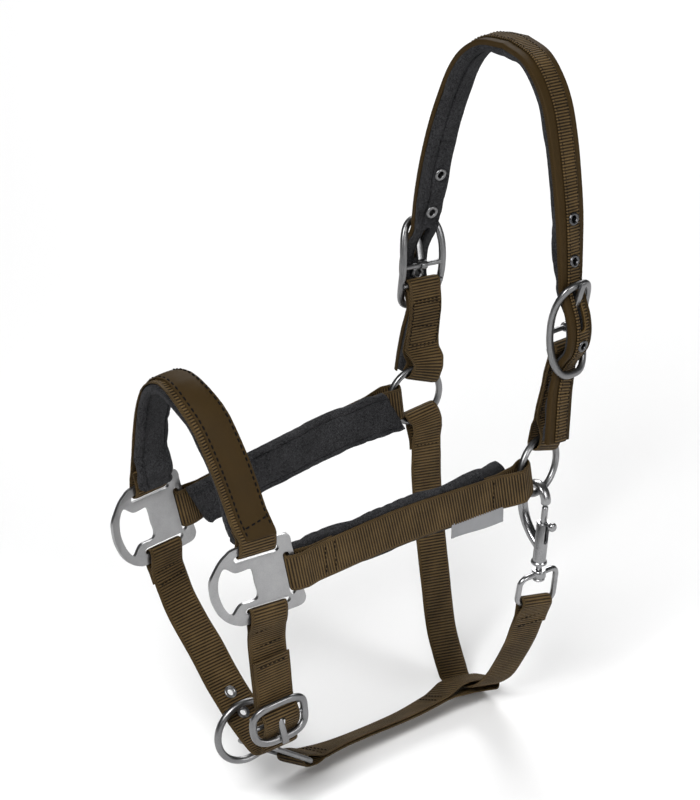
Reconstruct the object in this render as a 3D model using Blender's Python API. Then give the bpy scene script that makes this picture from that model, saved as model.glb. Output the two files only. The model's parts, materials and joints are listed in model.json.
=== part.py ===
"""Headcollar for a horse: webbing straps, padded crown and noseband, metal plates, rings,
buckles and a bolt snap, at rest as it sits on a head.

Frame: origin under the middle of the crown, +Z up, the nose points along -Y, +X is the horse's
left (near) side. All dimensions below are in millimetres, and heights are measured from RAISE
above the origin.
"""

import math

import bmesh
import bpy
import numpy as np
from mathutils import Matrix, Vector

MM = 0.001
RAISE = 2.5  # the whole model is lifted this far, so that the crown's padding clears the origin

# Webbing and padding
WEB = 25.0  # width of the main webbing
WEB_T = 1.5  # its thickness
LAYER = 0.3  # gap left between neighbouring layers
PAD_T = 6.5  # thickness of the padding
PAD_W = 31.0  # height of the cheek pads
CROWN_STRIP_W = 10.5  # webbing strip down the crown
BACKING_T = 1.2
NOSE_W = 26.0
NOSE_COVER_T = 1.4

# Hardware
WIRE = 2.1  # wire radius of the round rings
RING_R = 17.9  # centre-line radius of a cheek ring
LEAD_R = 19.5
PLATE_T = 2.2
EYELET_R = 4.0
EYELET_BORE = 2.0
EYELET_BARREL = 2.5
BAR_R = 1.6  # crossbars of the buckles
TONGUE_W = 4.0
SWING_GAP = 0.3  # radial clearance of a tongue on its bar

# Where things sit
NEAR_RING = (59.0, -28.0, -243.5)
FAR_RING = (59.0, -26.0, -240.5)  # mirrored to the far side
PLATE = (50.2, -236.0, -256.0)
BUCKLE = (66.0, -14.2, -155.0)
CHIN_BUCKLE = (49.0, -221.5, -353.0)
LEAD_RING = (16.5, -220.9, -376.0)

COLOURS = {
    "webbing": ((0.10, 0.065, 0.028), 0.75, 0.0),
    "cover": ((0.075, 0.047, 0.020), 0.65, 0.0),
    "fleece": ((0.018, 0.018, 0.020), 0.95, 0.0),
    "steel": ((0.62, 0.62, 0.63), 0.28, 1.0),
    "plate": ((0.68, 0.68, 0.69), 0.32, 1.0),
    "label": ((0.35, 0.35, 0.37), 0.45, 0.0),
}


# ---------------------------------------------------------------- general helpers


def clear_scene():
    for obj in list(bpy.data.objects):
        bpy.data.objects.remove(obj, do_unlink=True)


def material(name):
    found = bpy.data.materials.get(name)
    if found:
        return found
    colour, roughness, metallic = COLOURS[name]
    made = bpy.data.materials.new(name)
    made.use_nodes = True
    shader = made.node_tree.nodes["Principled BSDF"]
    shader.inputs["Base Color"].default_value = (*colour, 1.0)
    shader.inputs["Roughness"].default_value = roughness
    shader.inputs["Metallic"].default_value = metallic
    return made


def unit(vector):
    vector = np.asarray(vector, float)
    return vector / np.linalg.norm(vector)


def smooth_through(points, step):
    """Evenly spaced samples, about one per step, of a smooth curve through the points.

    Only the first three columns are a position; the others are carried along.
    """
    points = np.asarray(points, float)
    ends = np.vstack([2 * points[0] - points[1], points, 2 * points[-1] - points[-2]])
    fine = []
    for i in range(1, len(ends) - 2):
        p0, p1, p2, p3 = ends[i - 1 : i + 3]
        for t in np.linspace(0, 1, 24, endpoint=False):
            fine.append(
                0.5 * (2 * p1 + (p2 - p0) * t + (2 * p0 - 5 * p1 + 4 * p2 - p3) * t * t
                       + (3 * p1 - p0 - 3 * p2 + p3) * t ** 3)
            )
    fine.append(points[-1])
    fine = np.array(fine)
    run = np.concatenate([[0], np.cumsum(np.linalg.norm(np.diff(fine[:, :3], axis=0), axis=1))])
    count = max(2, int(round(run[-1] / step)) + 1)
    at = np.linspace(0, run[-1], count)
    return np.stack([np.interp(at, run, fine[:, k]) for k in range(fine.shape[1])], axis=1)


def tangents(path, closed=False):
    if closed:
        along = np.roll(path, -1, axis=0) - np.roll(path, 1, axis=0)
    else:
        along = np.gradient(path, axis=0)
    return along / np.linalg.norm(along, axis=1)[:, None]


def frame_along(path, across, closed=False):
    """Tangent, width direction square to it, and their normal, at each sample."""
    t = tangents(path, closed)
    w = across - (across * t).sum(1)[:, None] * t
    w /= np.linalg.norm(w, axis=1)[:, None]
    return t, w, np.cross(t, w)


def skewed(path, across):
    """Width directions that may lean along the path, lengthened to keep the strap's width."""
    square = np.linalg.norm(np.cross(tangents(path), across), axis=1)[:, None]
    return across * np.linalg.norm(across, axis=1)[:, None] / np.maximum(square, 0.5)


def rounded_section(half_width, low, high, radius, steps):
    """Outline of a rectangle with rounded corners, as (across, off) pairs."""
    if not steps:
        return np.array([(half_width, high), (-half_width, high), (-half_width, low), (half_width, low)])
    radius = min(radius, half_width * 0.999, (high - low) * 0.499)
    corners = [(half_width - radius, high - radius, 0), (-half_width + radius, high - radius, 90),
               (-half_width + radius, low + radius, 180), (half_width - radius, low + radius, 270)]
    outline = []
    for x, y, start in corners:
        for k in range(steps + 1):
            angle = math.radians(start + 90.0 * k / steps)
            outline.append((x + radius * math.cos(angle), y + radius * math.sin(angle)))
    return np.array(outline)


def add_mesh(name, vertices, faces, slot, side=1, smooth=False):
    """A closed mesh object, mirrored to the far side when side is -1."""
    bm = bmesh.new()
    made = [bm.verts.new((side * x * MM, y * MM, (z + RAISE) * MM)) for x, y, z in vertices]
    for face in faces:
        bm.faces.new([made[i] for i in face])
    bmesh.ops.recalc_face_normals(bm, faces=bm.faces)
    if bm.calc_volume(signed=True) < 0:
        bmesh.ops.reverse_faces(bm, faces=bm.faces)
    mesh = bpy.data.meshes.new(name)
    bm.to_mesh(mesh)
    bm.free()
    if smooth:
        mesh.shade_smooth()
    obj = bpy.data.objects.new(name, mesh)
    bpy.context.scene.collection.objects.link(obj)
    if slot:
        mesh.materials.append(material(slot))
    return obj


def skin(name, rings, slot, closed=False, side=1, smooth=False, turned=None):
    """Surface through a run of equal cross-sections, capped at both ends unless closed.

    turned holds, for each side of the section, which way its faces are split in two, so that
    layers that lie on each other twist alike.
    """
    rings = np.asarray(rings)
    count, around = rings.shape[:2]
    faces = []
    for k in range(count if closed else count - 1):
        a, b = k * around, (k + 1) % count * around
        for j in range(around):
            i = (j + 1) % around
            if turned is None:
                faces.append((a + j, a + i, b + i, b + j))
            elif turned[j]:
                faces += [(a + j, a + i, b + j), (a + i, b + i, b + j)]
            else:
                faces += [(a + j, a + i, b + i), (a + j, b + i, b + j)]
    if not closed:
        faces.append(tuple(range(around)))
        faces.append(tuple((count - 1) * around + j for j in range(around)))
    return add_mesh(name, rings.reshape(-1, 3), faces, slot, side, smooth)


def sweep(name, path, across, sections, slot, closed=False, side=1, smooth=False):
    """Carries a cross-section along a path. sections is one outline, or one for each sample."""
    path = np.asarray(path, float)
    t, w, n = frame_along(path, np.broadcast_to(across, path.shape), closed)
    rings = []
    for k in range(len(path)):
        outline = sections[k] if isinstance(sections, list) else sections
        rings.append(path[k] + outline[:, :1] * w[k] + outline[:, 1:] * n[k])
    return skin(name, rings, slot, closed, side, smooth)


def strap_section(width=WEB, thickness=WEB_T):
    return rounded_section(width / 2, -thickness / 2, thickness / 2, 0, 0)


def ease(distance, flat, length):
    """1 up to flat, then down to 0 over length."""
    k = np.clip((distance - flat) / length, 0, 1)
    return 1 - k * k * (3 - 2 * k)


def nose(centre, outward, normal, gap, reach, steps=7):
    """Half oval that takes a strap round a bar, from the normal's side to the other."""
    angles = np.linspace(0, math.pi, steps + 2)[1:-1]
    return [centre + outward * reach * math.sin(a) + normal * gap * math.cos(a) for a in angles]


def looped_strap(route, step, ends, centred=False):
    """Path of a strap whose ends turn round a bar and come back along it.

    route holds (x, y, z, wx, wy, wz) from the first bar to the last. ends is a pair of
    (gap, flat, length, reach, back): half the loop's opening, how far it stays open, how
    fast it closes, how far the fold reaches past the route's end and how much strap comes
    back, or None for a plain end. The strap runs on the normal's side and comes back on the
    other. A centred strap moves onto the route where it is single. Returns positions and
    width directions.
    """
    rest_gap = WEB_T / 2 + LAYER / 2
    base = smooth_through(route, step)
    centre, w = base[:, :3], skewed(base[:, :3], base[:, 3:6])
    t, _, n = frame_along(centre, w)
    run = np.concatenate([[0], np.cumsum(np.linalg.norm(np.diff(centre, axis=0), axis=1))])
    gaps = np.full(len(run), rest_gap)
    if centred:
        single = [1 - ease(d, end[4] + 2, 14) for end, d in zip(ends, (run, run[-1] - run)) if end]
        gaps *= 1 - np.prod(single, axis=0)
    for end, distance in ((ends[0], run), (ends[1], run[-1] - run)):
        if end:
            gap, flat, length = end[:3]
            gaps = gaps + (gap - rest_gap) * ease(distance, flat, length)
    points, widths = [], []
    if ends[0]:
        gap, flat, length, reach, back = ends[0]
        for k in range(len(run) - 1, -1, -1):
            if run[k] <= back:
                points.append(centre[k] - n[k] * gaps[k])
                widths.append(w[k])
        for p in nose(centre[0], -t[0], -n[0], gaps[0], reach):
            points.append(p)
            widths.append(w[0])
    for k in range(len(run)):
        points.append(centre[k] + n[k] * gaps[k])
        widths.append(w[k])
    if ends[1]:
        gap, flat, length, reach, back = ends[1]
        for p in nose(centre[-1], t[-1], n[-1], gaps[-1], reach):
            points.append(p)
            widths.append(w[-1])
        for k in range(len(run) - 1, -1, -1):
            if run[-1] - run[k] <= back:
                points.append(centre[k] - n[k] * gaps[k])
                widths.append(w[k])
    return np.array(points), np.array(widths)


def sweep_strap(name, path, widths, slot="webbing", closed=False, side=1, section=None):
    """Strap along a path; its width directions are kept as given, so a fold may be skewed."""
    section = strap_section() if section is None else section
    n = frame_along(path, widths, closed)[2]
    rings = []
    for k in range(len(path)):
        outline = section[k] if isinstance(section, list) else section
        rings.append(path[k] + outline[:, :1] * widths[k] + outline[:, 1:] * n[k])
    turned = np.roll(outline[:, 0], -1) > outline[:, 0]
    return skin(name, rings, slot, closed, side, turned=turned)


def cylinder_rings(start, end, radius, sides=16, spin=0.0):
    start, end = np.asarray(start, float), np.asarray(end, float)
    axis = unit(end - start)
    first = unit(np.cross(axis, (0.3, 0.2, 1.0) if abs(axis[2]) < 0.9 else (1.0, 0.2, 0.1)))
    second = np.cross(axis, first)
    angles = np.arange(sides) * 2 * math.pi / sides + spin
    ring = np.cos(angles)[:, None] * first + np.sin(angles)[:, None] * second
    return [start + radius * ring, end + radius * ring]


def wire_loop(name, path, normal, radius, slot, side=1, sides=12, flat=1.0):
    """Closed wire along a flat path; flat scales its thickness along the normal."""
    angles = (np.arange(sides) + 0.5) * 2 * math.pi / sides
    outline = np.stack([flat * radius * np.cos(angles), radius * np.sin(angles)], axis=1)
    return sweep(name, path, normal, outline, slot, closed=True, side=side, smooth=True)


def lathe(name, profile, origin, axis, start, slot, sides=32, smooth=False):
    """Solid of revolution about an axis; profile runs from the axis out and back, as (r, height)."""
    axis = unit(axis)
    first = unit(np.asarray(start) - np.dot(start, axis) * axis)
    second = np.cross(axis, first)
    vertices, index = [], []
    for r, h in profile:
        if r == 0:
            index.append([len(vertices)] * sides)
            vertices.append(origin + h * axis)
            continue
        index.append(list(range(len(vertices), len(vertices) + sides)))
        for k in range(sides):
            a = 2 * math.pi * k / sides
            vertices.append(origin + h * axis + r * (math.cos(a) * first + math.sin(a) * second))
    faces = []
    rows = len(profile)
    closed = profile[0][0] != 0
    for i in range(rows if closed else rows - 1):
        upper, lower = index[i], index[(i + 1) % rows]
        for k in range(sides):
            m = (k + 1) % sides
            face = [upper[k], upper[m], lower[m], lower[k]]
            face = list(dict.fromkeys(face))
            if len(face) > 2:
                faces.append(face)
    return add_mesh(name, vertices, faces, slot, 1, smooth)


def boolean(obj, cutter, operation, solver="EXACT"):
    modifier = obj.modifiers.new(operation.lower(), "BOOLEAN")
    modifier.operation = operation
    modifier.solver = solver
    modifier.object = cutter
    cutter.hide_render = True
    cutter.display_type = "WIRE"


def cutter_of(name, groups, side=1):
    """One mesh of several separate cylinders or prisms, each a pair of equal rings."""
    vertices, faces = [], []
    for low, high in groups:
        base, around = len(vertices), len(low)
        vertices.extend(low)
        vertices.extend(high)
        faces.append([base + k for k in range(around)])
        faces.append([base + around + k for k in range(around)])
        for k in range(around):
            m = (k + 1) % around
            faces.append([base + k, base + m, base + around + m, base + around + k])
    return add_mesh(name, vertices, faces, None, side)


def oval_rings(centre, axis, along, half_long, half_wide, low, high, sides=24):
    """Pair of stadium-like rings for a slot cut along axis."""
    axis = unit(axis)
    along = unit(np.asarray(along) - np.dot(along, axis) * axis)
    wide = np.cross(axis, along)
    angles = np.arange(sides) * 2 * math.pi / sides
    shape = np.stack([half_wide * np.cos(angles), half_wide * np.sin(angles)], axis=1)
    shape[:, 0] += np.where(shape[:, 0] > 0, 1, -1) * (half_long - half_wide)
    flat = centre + shape[:, :1] * along + shape[:, 1:] * wide
    return [flat + low * axis, flat + high * axis]


# ---------------------------------------------------------------- crown

# Near half of the crown, from the top to the free end: position of the face between the
# padding and the backing, how far the front edge is turned outward in degrees, the padding's
# thickness and the strap's width.
CROWN_TOP = [
    (0, 0, 5.2, 0, 7.4, 21.5), (19, -1.2, 2.2, 0, 7.6, 21.5), (32.5, -2.8, -6.8, 0, 8.0, 21.5),
    (42.5, -4, -20.5, 0, 8.4, 21.5), (50, -5.7, -39.5, 0, 8.6, 21.5), (56.2, -7.6, -61, 2, 8.6, 21.5),
    (61.2, -9.2, -85, 5, 8.4, 21.5), (64.2, -10.8, -108, 9, 7.6, 21),
]
CROWN_BUCKLED = [  # heights above the buckle's bar
    (66.4, -12.3, 31, 8, 5.0, 19), (67.2, -12.6, 25, 7, 5.0, 18.6), (71.6, -12.7, 16, 7, 5.2, 18.6),
    (75.5, -12.9, 7, 7, 5.6, 18.8), (76.9, -13.2, -3, 7, 5.8, 18.8), (75.4, -13.9, -12.5, 7, 5.4, 18.6),
    (70.3, -14.8, -20, 7, 3.9, 18.2), (67.1, -15.5, -26, 8, 3.2, 18.2), (67.0, -16.7, -32, 9, 3.4, 19),
    (68.2, -19.9, -43, 11, 4.4, 21), (70.3, -22.8, -58, 12, 5.2, 21.5), (71.8, -25.0, -71, 12, 5.8, 21.5),
]
CROWN_STEP = 6.5
NEAR_LIFT = 2.5  # the near buckle sits a little higher than the far one
FAR_LIFT = -2.5
NEAR_EYELETS = (-85.5, -111.0)  # heights of the free eyelets; the third sits below the bar
FAR_EYELETS = (-93.5, -120.0)
EYELET_BELOW = -8.0


def crown_half(lift):
    """Samples of one half: position, width direction, padding thickness and width."""
    rows = CROWN_TOP + [(*row[:2], BUCKLE[2] + lift + row[2], *row[3:]) for row in CROWN_BUCKLED]
    points = []
    for x, y, z, turn, pad, width in rows:
        turn = math.radians(turn)
        points.append((x, y, z, -math.sin(turn), math.cos(turn), 0, pad, width))
    return smooth_through(points, CROWN_STEP)


def crown_route():
    """The whole crown from the far free end, over the top, to the near one."""
    far = crown_half(FAR_LIFT)[:0:-1] * np.array([-1, 1, 1, -1, 1, 1, 1, 1])
    return np.vstack([far, crown_half(NEAR_LIFT)])


def place_on(half, height):
    """Position, tangent, width direction, normal and padding at a height of a half."""
    centre = half[:, :3]
    t, w, n = frame_along(centre, half[:, 3:6])
    table = np.hstack([centre, t, w, n, half[:, 6:7]])[::-1]
    pick = np.array([np.interp(height, half[::-1, 2], column) for column in table.T])
    return pick[:3], unit(pick[3:6]), unit(pick[6:9]), unit(pick[9:12]), pick[12]


def build_crown():
    route = crown_route()
    centre, across, pad, half_widths = route[:, :3], route[:, 3:6], route[:, 6], route[:, 7] / 2
    strip_low = LAYER / 2 + BACKING_T + LAYER
    strip_high = strip_low + WEB_T
    padding = [rounded_section(h - 0.3, -p, -LAYER / 2, 1.9, 1) for h, p in zip(half_widths, pad)]
    backing = [rounded_section(h, LAYER / 2, LAYER / 2 + BACKING_T, 0, 0) for h in half_widths]
    strip = rounded_section(CROWN_STRIP_W / 2, strip_low, strip_high, 0, 0)
    made = [
        sweep("crown_padding", centre, across, padding, "fleece"),
        sweep("crown_backing", centre, across, backing, "cover"),
        sweep("crown_webbing", centre, across, strip, "webbing"),
    ]
    holes = []
    near, far = (1, NEAR_LIFT, "near", NEAR_EYELETS), (-1, FAR_LIFT, "far", FAR_EYELETS)
    for side, lift, word, heights in (near, far):
        half = crown_half(lift)
        mirror = np.array([side, 1, 1])
        for k, height in enumerate((*heights, BUCKLE[2] + lift + EYELET_BELOW)):
            p, t, w, n, depth = place_on(half, height)
            eyelet(f"crown_eyelet_{word}_{k + 1}", p, n, t, -depth - 0.6, strip_high + LAYER, side)
            low, high = p - n * (depth + 4), p + n * (strip_high + 4)
            ring = cylinder_rings(low, high, EYELET_BARREL + LAYER, 12)
            holes.append([points * mirror for points in ring])
        slot = tongue_slot(lift)
        holes.append([points * mirror for points in slot])
    cutter = cutter_of("crown_holes", holes)
    for obj in made:
        boolean(obj, cutter, "DIFFERENCE")


def eyelet(name, centre, axis, start, low, high, side=1):
    """Tube with a flange at each end; low and high are the faces that the flanges sit on."""
    r, b = EYELET_R, EYELET_BORE
    o = EYELET_BARREL
    rim = 0.7
    profile = [(b, low - rim), (r - 0.3, low - rim), (r, low), (o, low), (o, high), (r, high),
               (r - 0.3, high + rim), (b, high + rim)]
    obj = lathe(name, profile, centre, axis, start, "steel", 12)
    if side < 0:
        obj.data.transform(Matrix.Diagonal((-1, 1, 1, 1)))
        obj.data.flip_normals()
    return obj


# ---------------------------------------------------------------- buckles


class Buckle:
    """Oval frame bowed outward at its ends, with a bar for the tongue and one for the tab.

    Its own axes are a (across the strap), b (along it, towards the tongue's tip) and n
    (away from the head).
    """

    def __init__(self, centre, across, up, half_a, half_b, bow, tongue_bar, tab_bar, bar_r):
        self.centre = np.asarray(centre, float)
        self.b = unit(up)
        self.a = unit(np.asarray(across) - np.dot(across, self.b) * self.b)
        self.n = np.cross(self.b, self.a)
        if self.n[0] < 0:
            self.n = -self.n
        self.half_a, self.half_b, self.bow = half_a, half_b, bow
        self.tongue_bar, self.tab_bar, self.bar_r = tongue_bar, tab_bar, bar_r
        self.rim = (2.3, 1.8)

    def at(self, a, b, n=0.0):
        return self.centre + a * self.a + b * self.b + n * self.n

    def rise(self, b):
        return self.bow * (b / self.half_b) ** 2

    def frame(self, name, side=1, power=3.1, steps=32):
        path, normals = [], []
        for k in range(steps):
            angle = 2 * math.pi * k / steps
            c, s = math.cos(angle), math.sin(angle)
            a = self.half_a * math.copysign(abs(c) ** (2 / power), c)
            b = self.half_b * math.copysign(abs(s) ** (2 / power), s)
            path.append(self.at(a, b, self.rise(b)))
            normals.append(self.n)
        wide, thick = self.rim
        angles = (np.arange(8) + 0.5) * 2 * math.pi / 8
        outline = np.stack([thick * np.cos(angles), wide * np.sin(angles)], axis=1)
        obj = sweep(name, path, np.array(normals), outline, "steel", closed=True, side=side, smooth=True)
        for k, (b, n) in enumerate((self.tongue_bar, self.tab_bar)):
            reach = self.half_a * 0.98
            rings = cylinder_rings(self.at(-reach, b, n), self.at(reach, b, n), self.bar_r, 12)
            boolean(obj, cutter_of(f"{name}_bar_{k}", [rings], side), "UNION")
        return obj

    def tongue(self, name, side=1, towards=1):
        """Flat prong on a barrel round its bar; its tip rests on the frame's end."""
        bore = self.bar_r + SWING_GAP
        outer = bore + 1.0
        half = 0.9  # half the prong's thickness
        bar = np.array(self.tongue_bar, float)
        reach = self.half_b + 0.8
        tip = np.array([towards * reach, self.rise(reach) + self.rim[1] + 0.35 + half])
        lift = np.array([0.0, outer - half])  # the prong leaves the top of the barrel
        aim = unit(tip - bar - lift)
        up = np.array([-aim[1], aim[0]]) * towards
        root = bar + up * (outer - half)
        outline = [tip + up * half * 0.4 + aim * 1.2, tip + up * half, root + up * half]
        start = math.atan2(up[1], up[0])
        for k in range(1, 11):
            angle = start + towards * math.radians(27 * k)
            outline.append(bar + outer * np.array([math.cos(angle), math.sin(angle)]))
        outline.append(root - up * half + aim * (outer + 0.4))
        outline.append(tip - up * half)
        outline.append(tip - up * half * 0.4 + aim * 1.2)
        w = TONGUE_W / 2
        rings = [[self.at(a, b, n) for b, n in outline] for a in (-w, w)]
        obj = skin(name, rings, "steel", side=side)
        hole = cylinder_rings(self.at(-w - 2, *bar), self.at(w + 2, *bar), bore, 16)
        boolean(obj, cutter_of(f"{name}_bore", [hole], side), "DIFFERENCE")
        return obj


def crown_buckle(lift):
    turn = math.radians(6)
    centre = (BUCKLE[0], BUCKLE[1], BUCKLE[2] + lift)
    return Buckle(centre, (-math.sin(turn), math.cos(turn), 0), (0.0, 0.06, 1.0), 14.6, 28.7, 7.0,
                  (0.0, 0.0), (-12.0, -0.6), BAR_R)


def tongue_slot(lift):
    """Slot through the crown for the prong."""
    buckle = crown_buckle(lift)
    middle = buckle.at(0, 13.0, 5.5)
    return oval_rings(middle, buckle.n, buckle.b, 12.5, TONGUE_W / 2 + 0.6, -12, 12, 16)


def build_crown_buckles():
    for side, lift, ring, word in ((1, NEAR_LIFT, NEAR, "near"), (-1, FAR_LIFT, FAR, "far")):
        buckle = crown_buckle(lift)
        buckle.frame(f"crown_buckle_{word}", side)
        buckle.tongue(f"crown_tongue_{word}", side)
        bar = buckle.at(0, *buckle.tab_bar)
        fold = ring.at(RING_FOLD, 90 - TAB_SWING)
        edge = ring.across(90 - TAB_SWING)
        flat = -buckle.a * np.sign(-buckle.a[1])
        squeeze = flat * 0.91  # it is pinched where it passes the frame's sides
        route = [(*fold, *(edge * PINCH)), (*(fold + ring.outward(90 - TAB_SWING) * 9), *(edge * 0.94))]
        for x, y, z in TAB_RISE:
            route.append((x, y, bar[2] + z, *(flat if z < -30 else squeeze)))
        route.append((*bar, *squeeze))
        path, widths = closed_tab(route, 6.0, RING_LOOP, (BAR_R + 1.25, 1.0, 7.0, 3.4))
        sweep_strap(f"crown_tab_{word}", path, widths, closed=True, side=side)


# ---------------------------------------------------------------- rings


class Ring:
    """Round wire ring. Angles turn in its plane from the rear (0) to the top (90)."""

    def __init__(self, centre, rearward, radius, wire):
        self.centre = np.asarray(centre, float)
        self.rear = unit(rearward)
        self.top = unit(np.array([0, 0, 1.0]) - self.rear[2] * self.rear)
        self.normal = np.cross(self.rear, self.top)
        self.radius, self.wire = radius, wire

    def outward(self, angle):
        angle = math.radians(angle)
        return math.cos(angle) * self.rear + math.sin(angle) * self.top

    def across(self, angle):
        """Direction of the wire, for a strap that wraps it."""
        return -self.outward(angle + 90)

    def at(self, distance, angle):
        return self.centre + distance * self.outward(angle)

    def build(self, name, side=1, steps=28, sides=8):
        path = [self.at(self.radius, 360.0 * k / steps) for k in range(steps)]
        return wire_loop(name, path, self.normal, self.wire, "steel", side, sides)


RING_FOLD = RING_R - 3.5  # a strap's fold starts this far from a cheek ring's centre
RING_LOOP = (4.2, 7.8, 13.0, 4.3)
PINCH = 0.88  # a strap bunches to this part of its width in a ring
TAB_SWING = 20.0  # the crown tab hangs this far behind the top of the ring
TAB_RISE = [(60.0, -20.5, -42), (60.8, -17.6, -26), (61.2, -15.8, -15), (63.4, -14.7, -7)]  # from its bar
NEAR = Ring(NEAR_RING, (-0.2, 0.98, 0), RING_R, WIRE)
FAR = Ring(FAR_RING, (-0.15, 0.99, 0), RING_R, WIRE)
LEAD = Ring(LEAD_RING, (0.12, 0.98, 0.13), LEAD_R, 2.2)


def rounded_loop(half_u, half_v, corner, steps=5):
    """Rounded rectangle as (u, v) points."""
    points = []
    for u, v, start in ((1, 1, 0), (-1, 1, 90), (-1, -1, 180), (1, -1, 270)):
        for k in range(steps + 1):
            angle = math.radians(start + 90 * k / steps)
            points.append((u * (half_u - corner) + corner * math.cos(angle),
                           v * (half_v - corner) + corner * math.sin(angle)))
    return points


def closed_tab(route, step, first, last):
    """Closed path of a doubled strap: out on one side of its route and back on the other."""
    return looped_strap(route, step, ((*first, -1.0), (*last, 1e9)))


# ---------------------------------------------------------------- nose plates

PLATE_OUTLINE = [
    (-18, 27), (0, 27.6), (15, 28), (19.6, 25.5), (21.3, 18.5), (24.4, 7.4), (28, -6), (31, -15),
    (32, -19.5), (29.5, -23.2), (20, -24.3), (5, -25.2), (-9, -26), (-15, -24.5), (-21, -21),
    (-26.4, -15.6), (-30.5, -8.3), (-33, -1), (-34, 9), (-31.2, 15.3), (-27.6, 20.8), (-23.6, 24.3),
]
PLATE_WINDOW = [
    (-26, 15.6), (-23.6, 15.8), (-18, 11.7), (-13, 11.2), (-8, 11.6), (-5.8, 10.3), (-4.3, 6.6),
    (-2.9, 0), (-0.9, -6.6), (-1.6, -10.4), (-5, -11.2), (-12, -11.3), (-15, -13.7), (-18, -17),
    (-22.3, -12.8), (-25.8, -6.4), (-28.3, 1.7), (-28.3, 10),
]
TOP_SLOT = (-3.0, 20.0, 0.0)  # centre and lean in degrees
REAR_SLOT = (20.2, 0.6, 103.0)
BOTTOM_SLOT = (6.0, -17.2, 0.0)
SLOT = (15.4, 2.1)  # half length and half width
TOP_WEB = 24.8  # middle of the bar of plate above the top slot
REAR_WEB = 24.4
BOTTOM_WEB = -22.3
PLATE_LOOP = (2.7, 3.8, 8.0, 5.2)
PLATE_A = unit((0.1093, 0.9940, 0.0))
PLATE_B = unit((0.0493, -0.0054, 0.9988))
PLATE_N = np.cross(PLATE_A, PLATE_B)


def on_plate(a, b, n=0.0):
    return np.array(PLATE) + a * PLATE_A + b * PLATE_B + n * PLATE_N


def closed_curve(points, step):
    """Smooth closed outline through the points."""
    points = np.asarray(points, float)
    wrapped = np.vstack([points[-2:], points, points[:3]])
    count = len(points)
    fine = []
    for i in range(2, count + 2):
        p0, p1, p2, p3 = wrapped[i - 1 : i + 3]
        pieces = max(1, int(round(np.linalg.norm(p2 - p1) / step)))
        for t in np.arange(pieces) / pieces:
            fine.append(
                0.5 * (2 * p1 + (p2 - p0) * t + (2 * p0 - 5 * p1 + 4 * p2 - p3) * t * t
                       + (3 * p1 - p0 - 3 * p2 + p3) * t ** 3)
            )
    return np.array(fine)


def build_plates():
    for side, word in ((1, "near"), (-1, "far")):
        rim = closed_curve(PLATE_OUTLINE, 5.0)
        rings = [[on_plate(a, b, n) for a, b in rim] for n in (-PLATE_T / 2, PLATE_T / 2)]
        plate = skin(f"nose_plate_{word}", rings, "plate", side=side)
        window = [[on_plate(a, b, n) for a, b in closed_curve(PLATE_WINDOW, 5.0)] for n in (-4, 4)]
        cuts = [window]
        for a, b, lean in (TOP_SLOT, REAR_SLOT, BOTTOM_SLOT):
            lean = math.radians(lean)
            along = math.cos(lean) * PLATE_A + math.sin(lean) * PLATE_B
            cuts.append(oval_rings(on_plate(a, b), PLATE_N, along, *SLOT, -4, 4, 16))
        boolean(plate, cutter_of(f"plate_cuts_{word}", cuts, side), "DIFFERENCE")


# ---------------------------------------------------------------- noseband

# Near half of the noseband from the middle of the nose: front and rear edge of the face
# between padding and webbing.
NOSE_EDGES = [
    ((0, -269, -138.4), (0, -244, -140.2)),
    ((12.5, -268.5, -144), (12.5, -243.5, -143)),
    ((24, -264.7, -157.6), (25.2, -240, -153)),
    ((31, -262.8, -171.3), (32.6, -237, -164.4)),
    ((37.4, -259.4, -187.5), (40, -234.5, -181)),
    ((42.3, -257.0, -202.4), (45.5, -231.5, -198)),
    ((46.2, -254.8, -214), (49.6, -229.3, -213)),
]


def nose_route():
    half = []
    for front, rear in NOSE_EDGES:
        front, rear = np.array(front, float), np.array(rear, float)
        half.append((*((front + rear) / 2), *unit(rear - front)))
    half.append((*on_plate(TOP_SLOT[0], TOP_WEB + 7, 0.2), *PLATE_A))
    half.append((*on_plate(TOP_SLOT[0], TOP_WEB), *PLATE_A))
    half = np.array(half)
    far = half[:0:-1] * np.array([-1, 1, 1, -1, 1, 1])
    return np.vstack([far, half])


def along_route(base):
    """Distance of each sample from the nearer end of a route."""
    run = np.concatenate([[0], np.cumsum(np.linalg.norm(np.diff(base[:, :3], axis=0), axis=1))])
    return np.minimum(run, run[-1] - run)


def trimmed(base, start, end):
    """A route without its first and last stretch; the samples between stay where they are."""
    run = np.concatenate([[0], np.cumsum(np.linalg.norm(np.diff(base[:, :3], axis=0), axis=1))])
    inside = run[(run > start + 1) & (run < run[-1] - end - 1)]
    at = np.concatenate([[start], inside, [run[-1] - end]])
    return np.stack([np.interp(at, run, column) for column in base.T], axis=1)


def layer_of(name, base, low, high, width, slot, shift=0.0, radius=0.5, steps=0, side=1):
    """Layer between two heights above a route; low and high may differ at each sample."""
    low = np.broadcast_to(low, len(base))
    high = np.broadcast_to(high, len(base))
    sections = []
    for k in range(len(base)):
        outline = rounded_section(width / 2, low[k], high[k], radius, steps)
        outline[:, 0] += shift
        sections.append(outline)
    widths = skewed(base[:, :3], base[:, 3:6])
    return sweep_strap(name, base[:, :3], widths, slot, side=side, section=sections)


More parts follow.
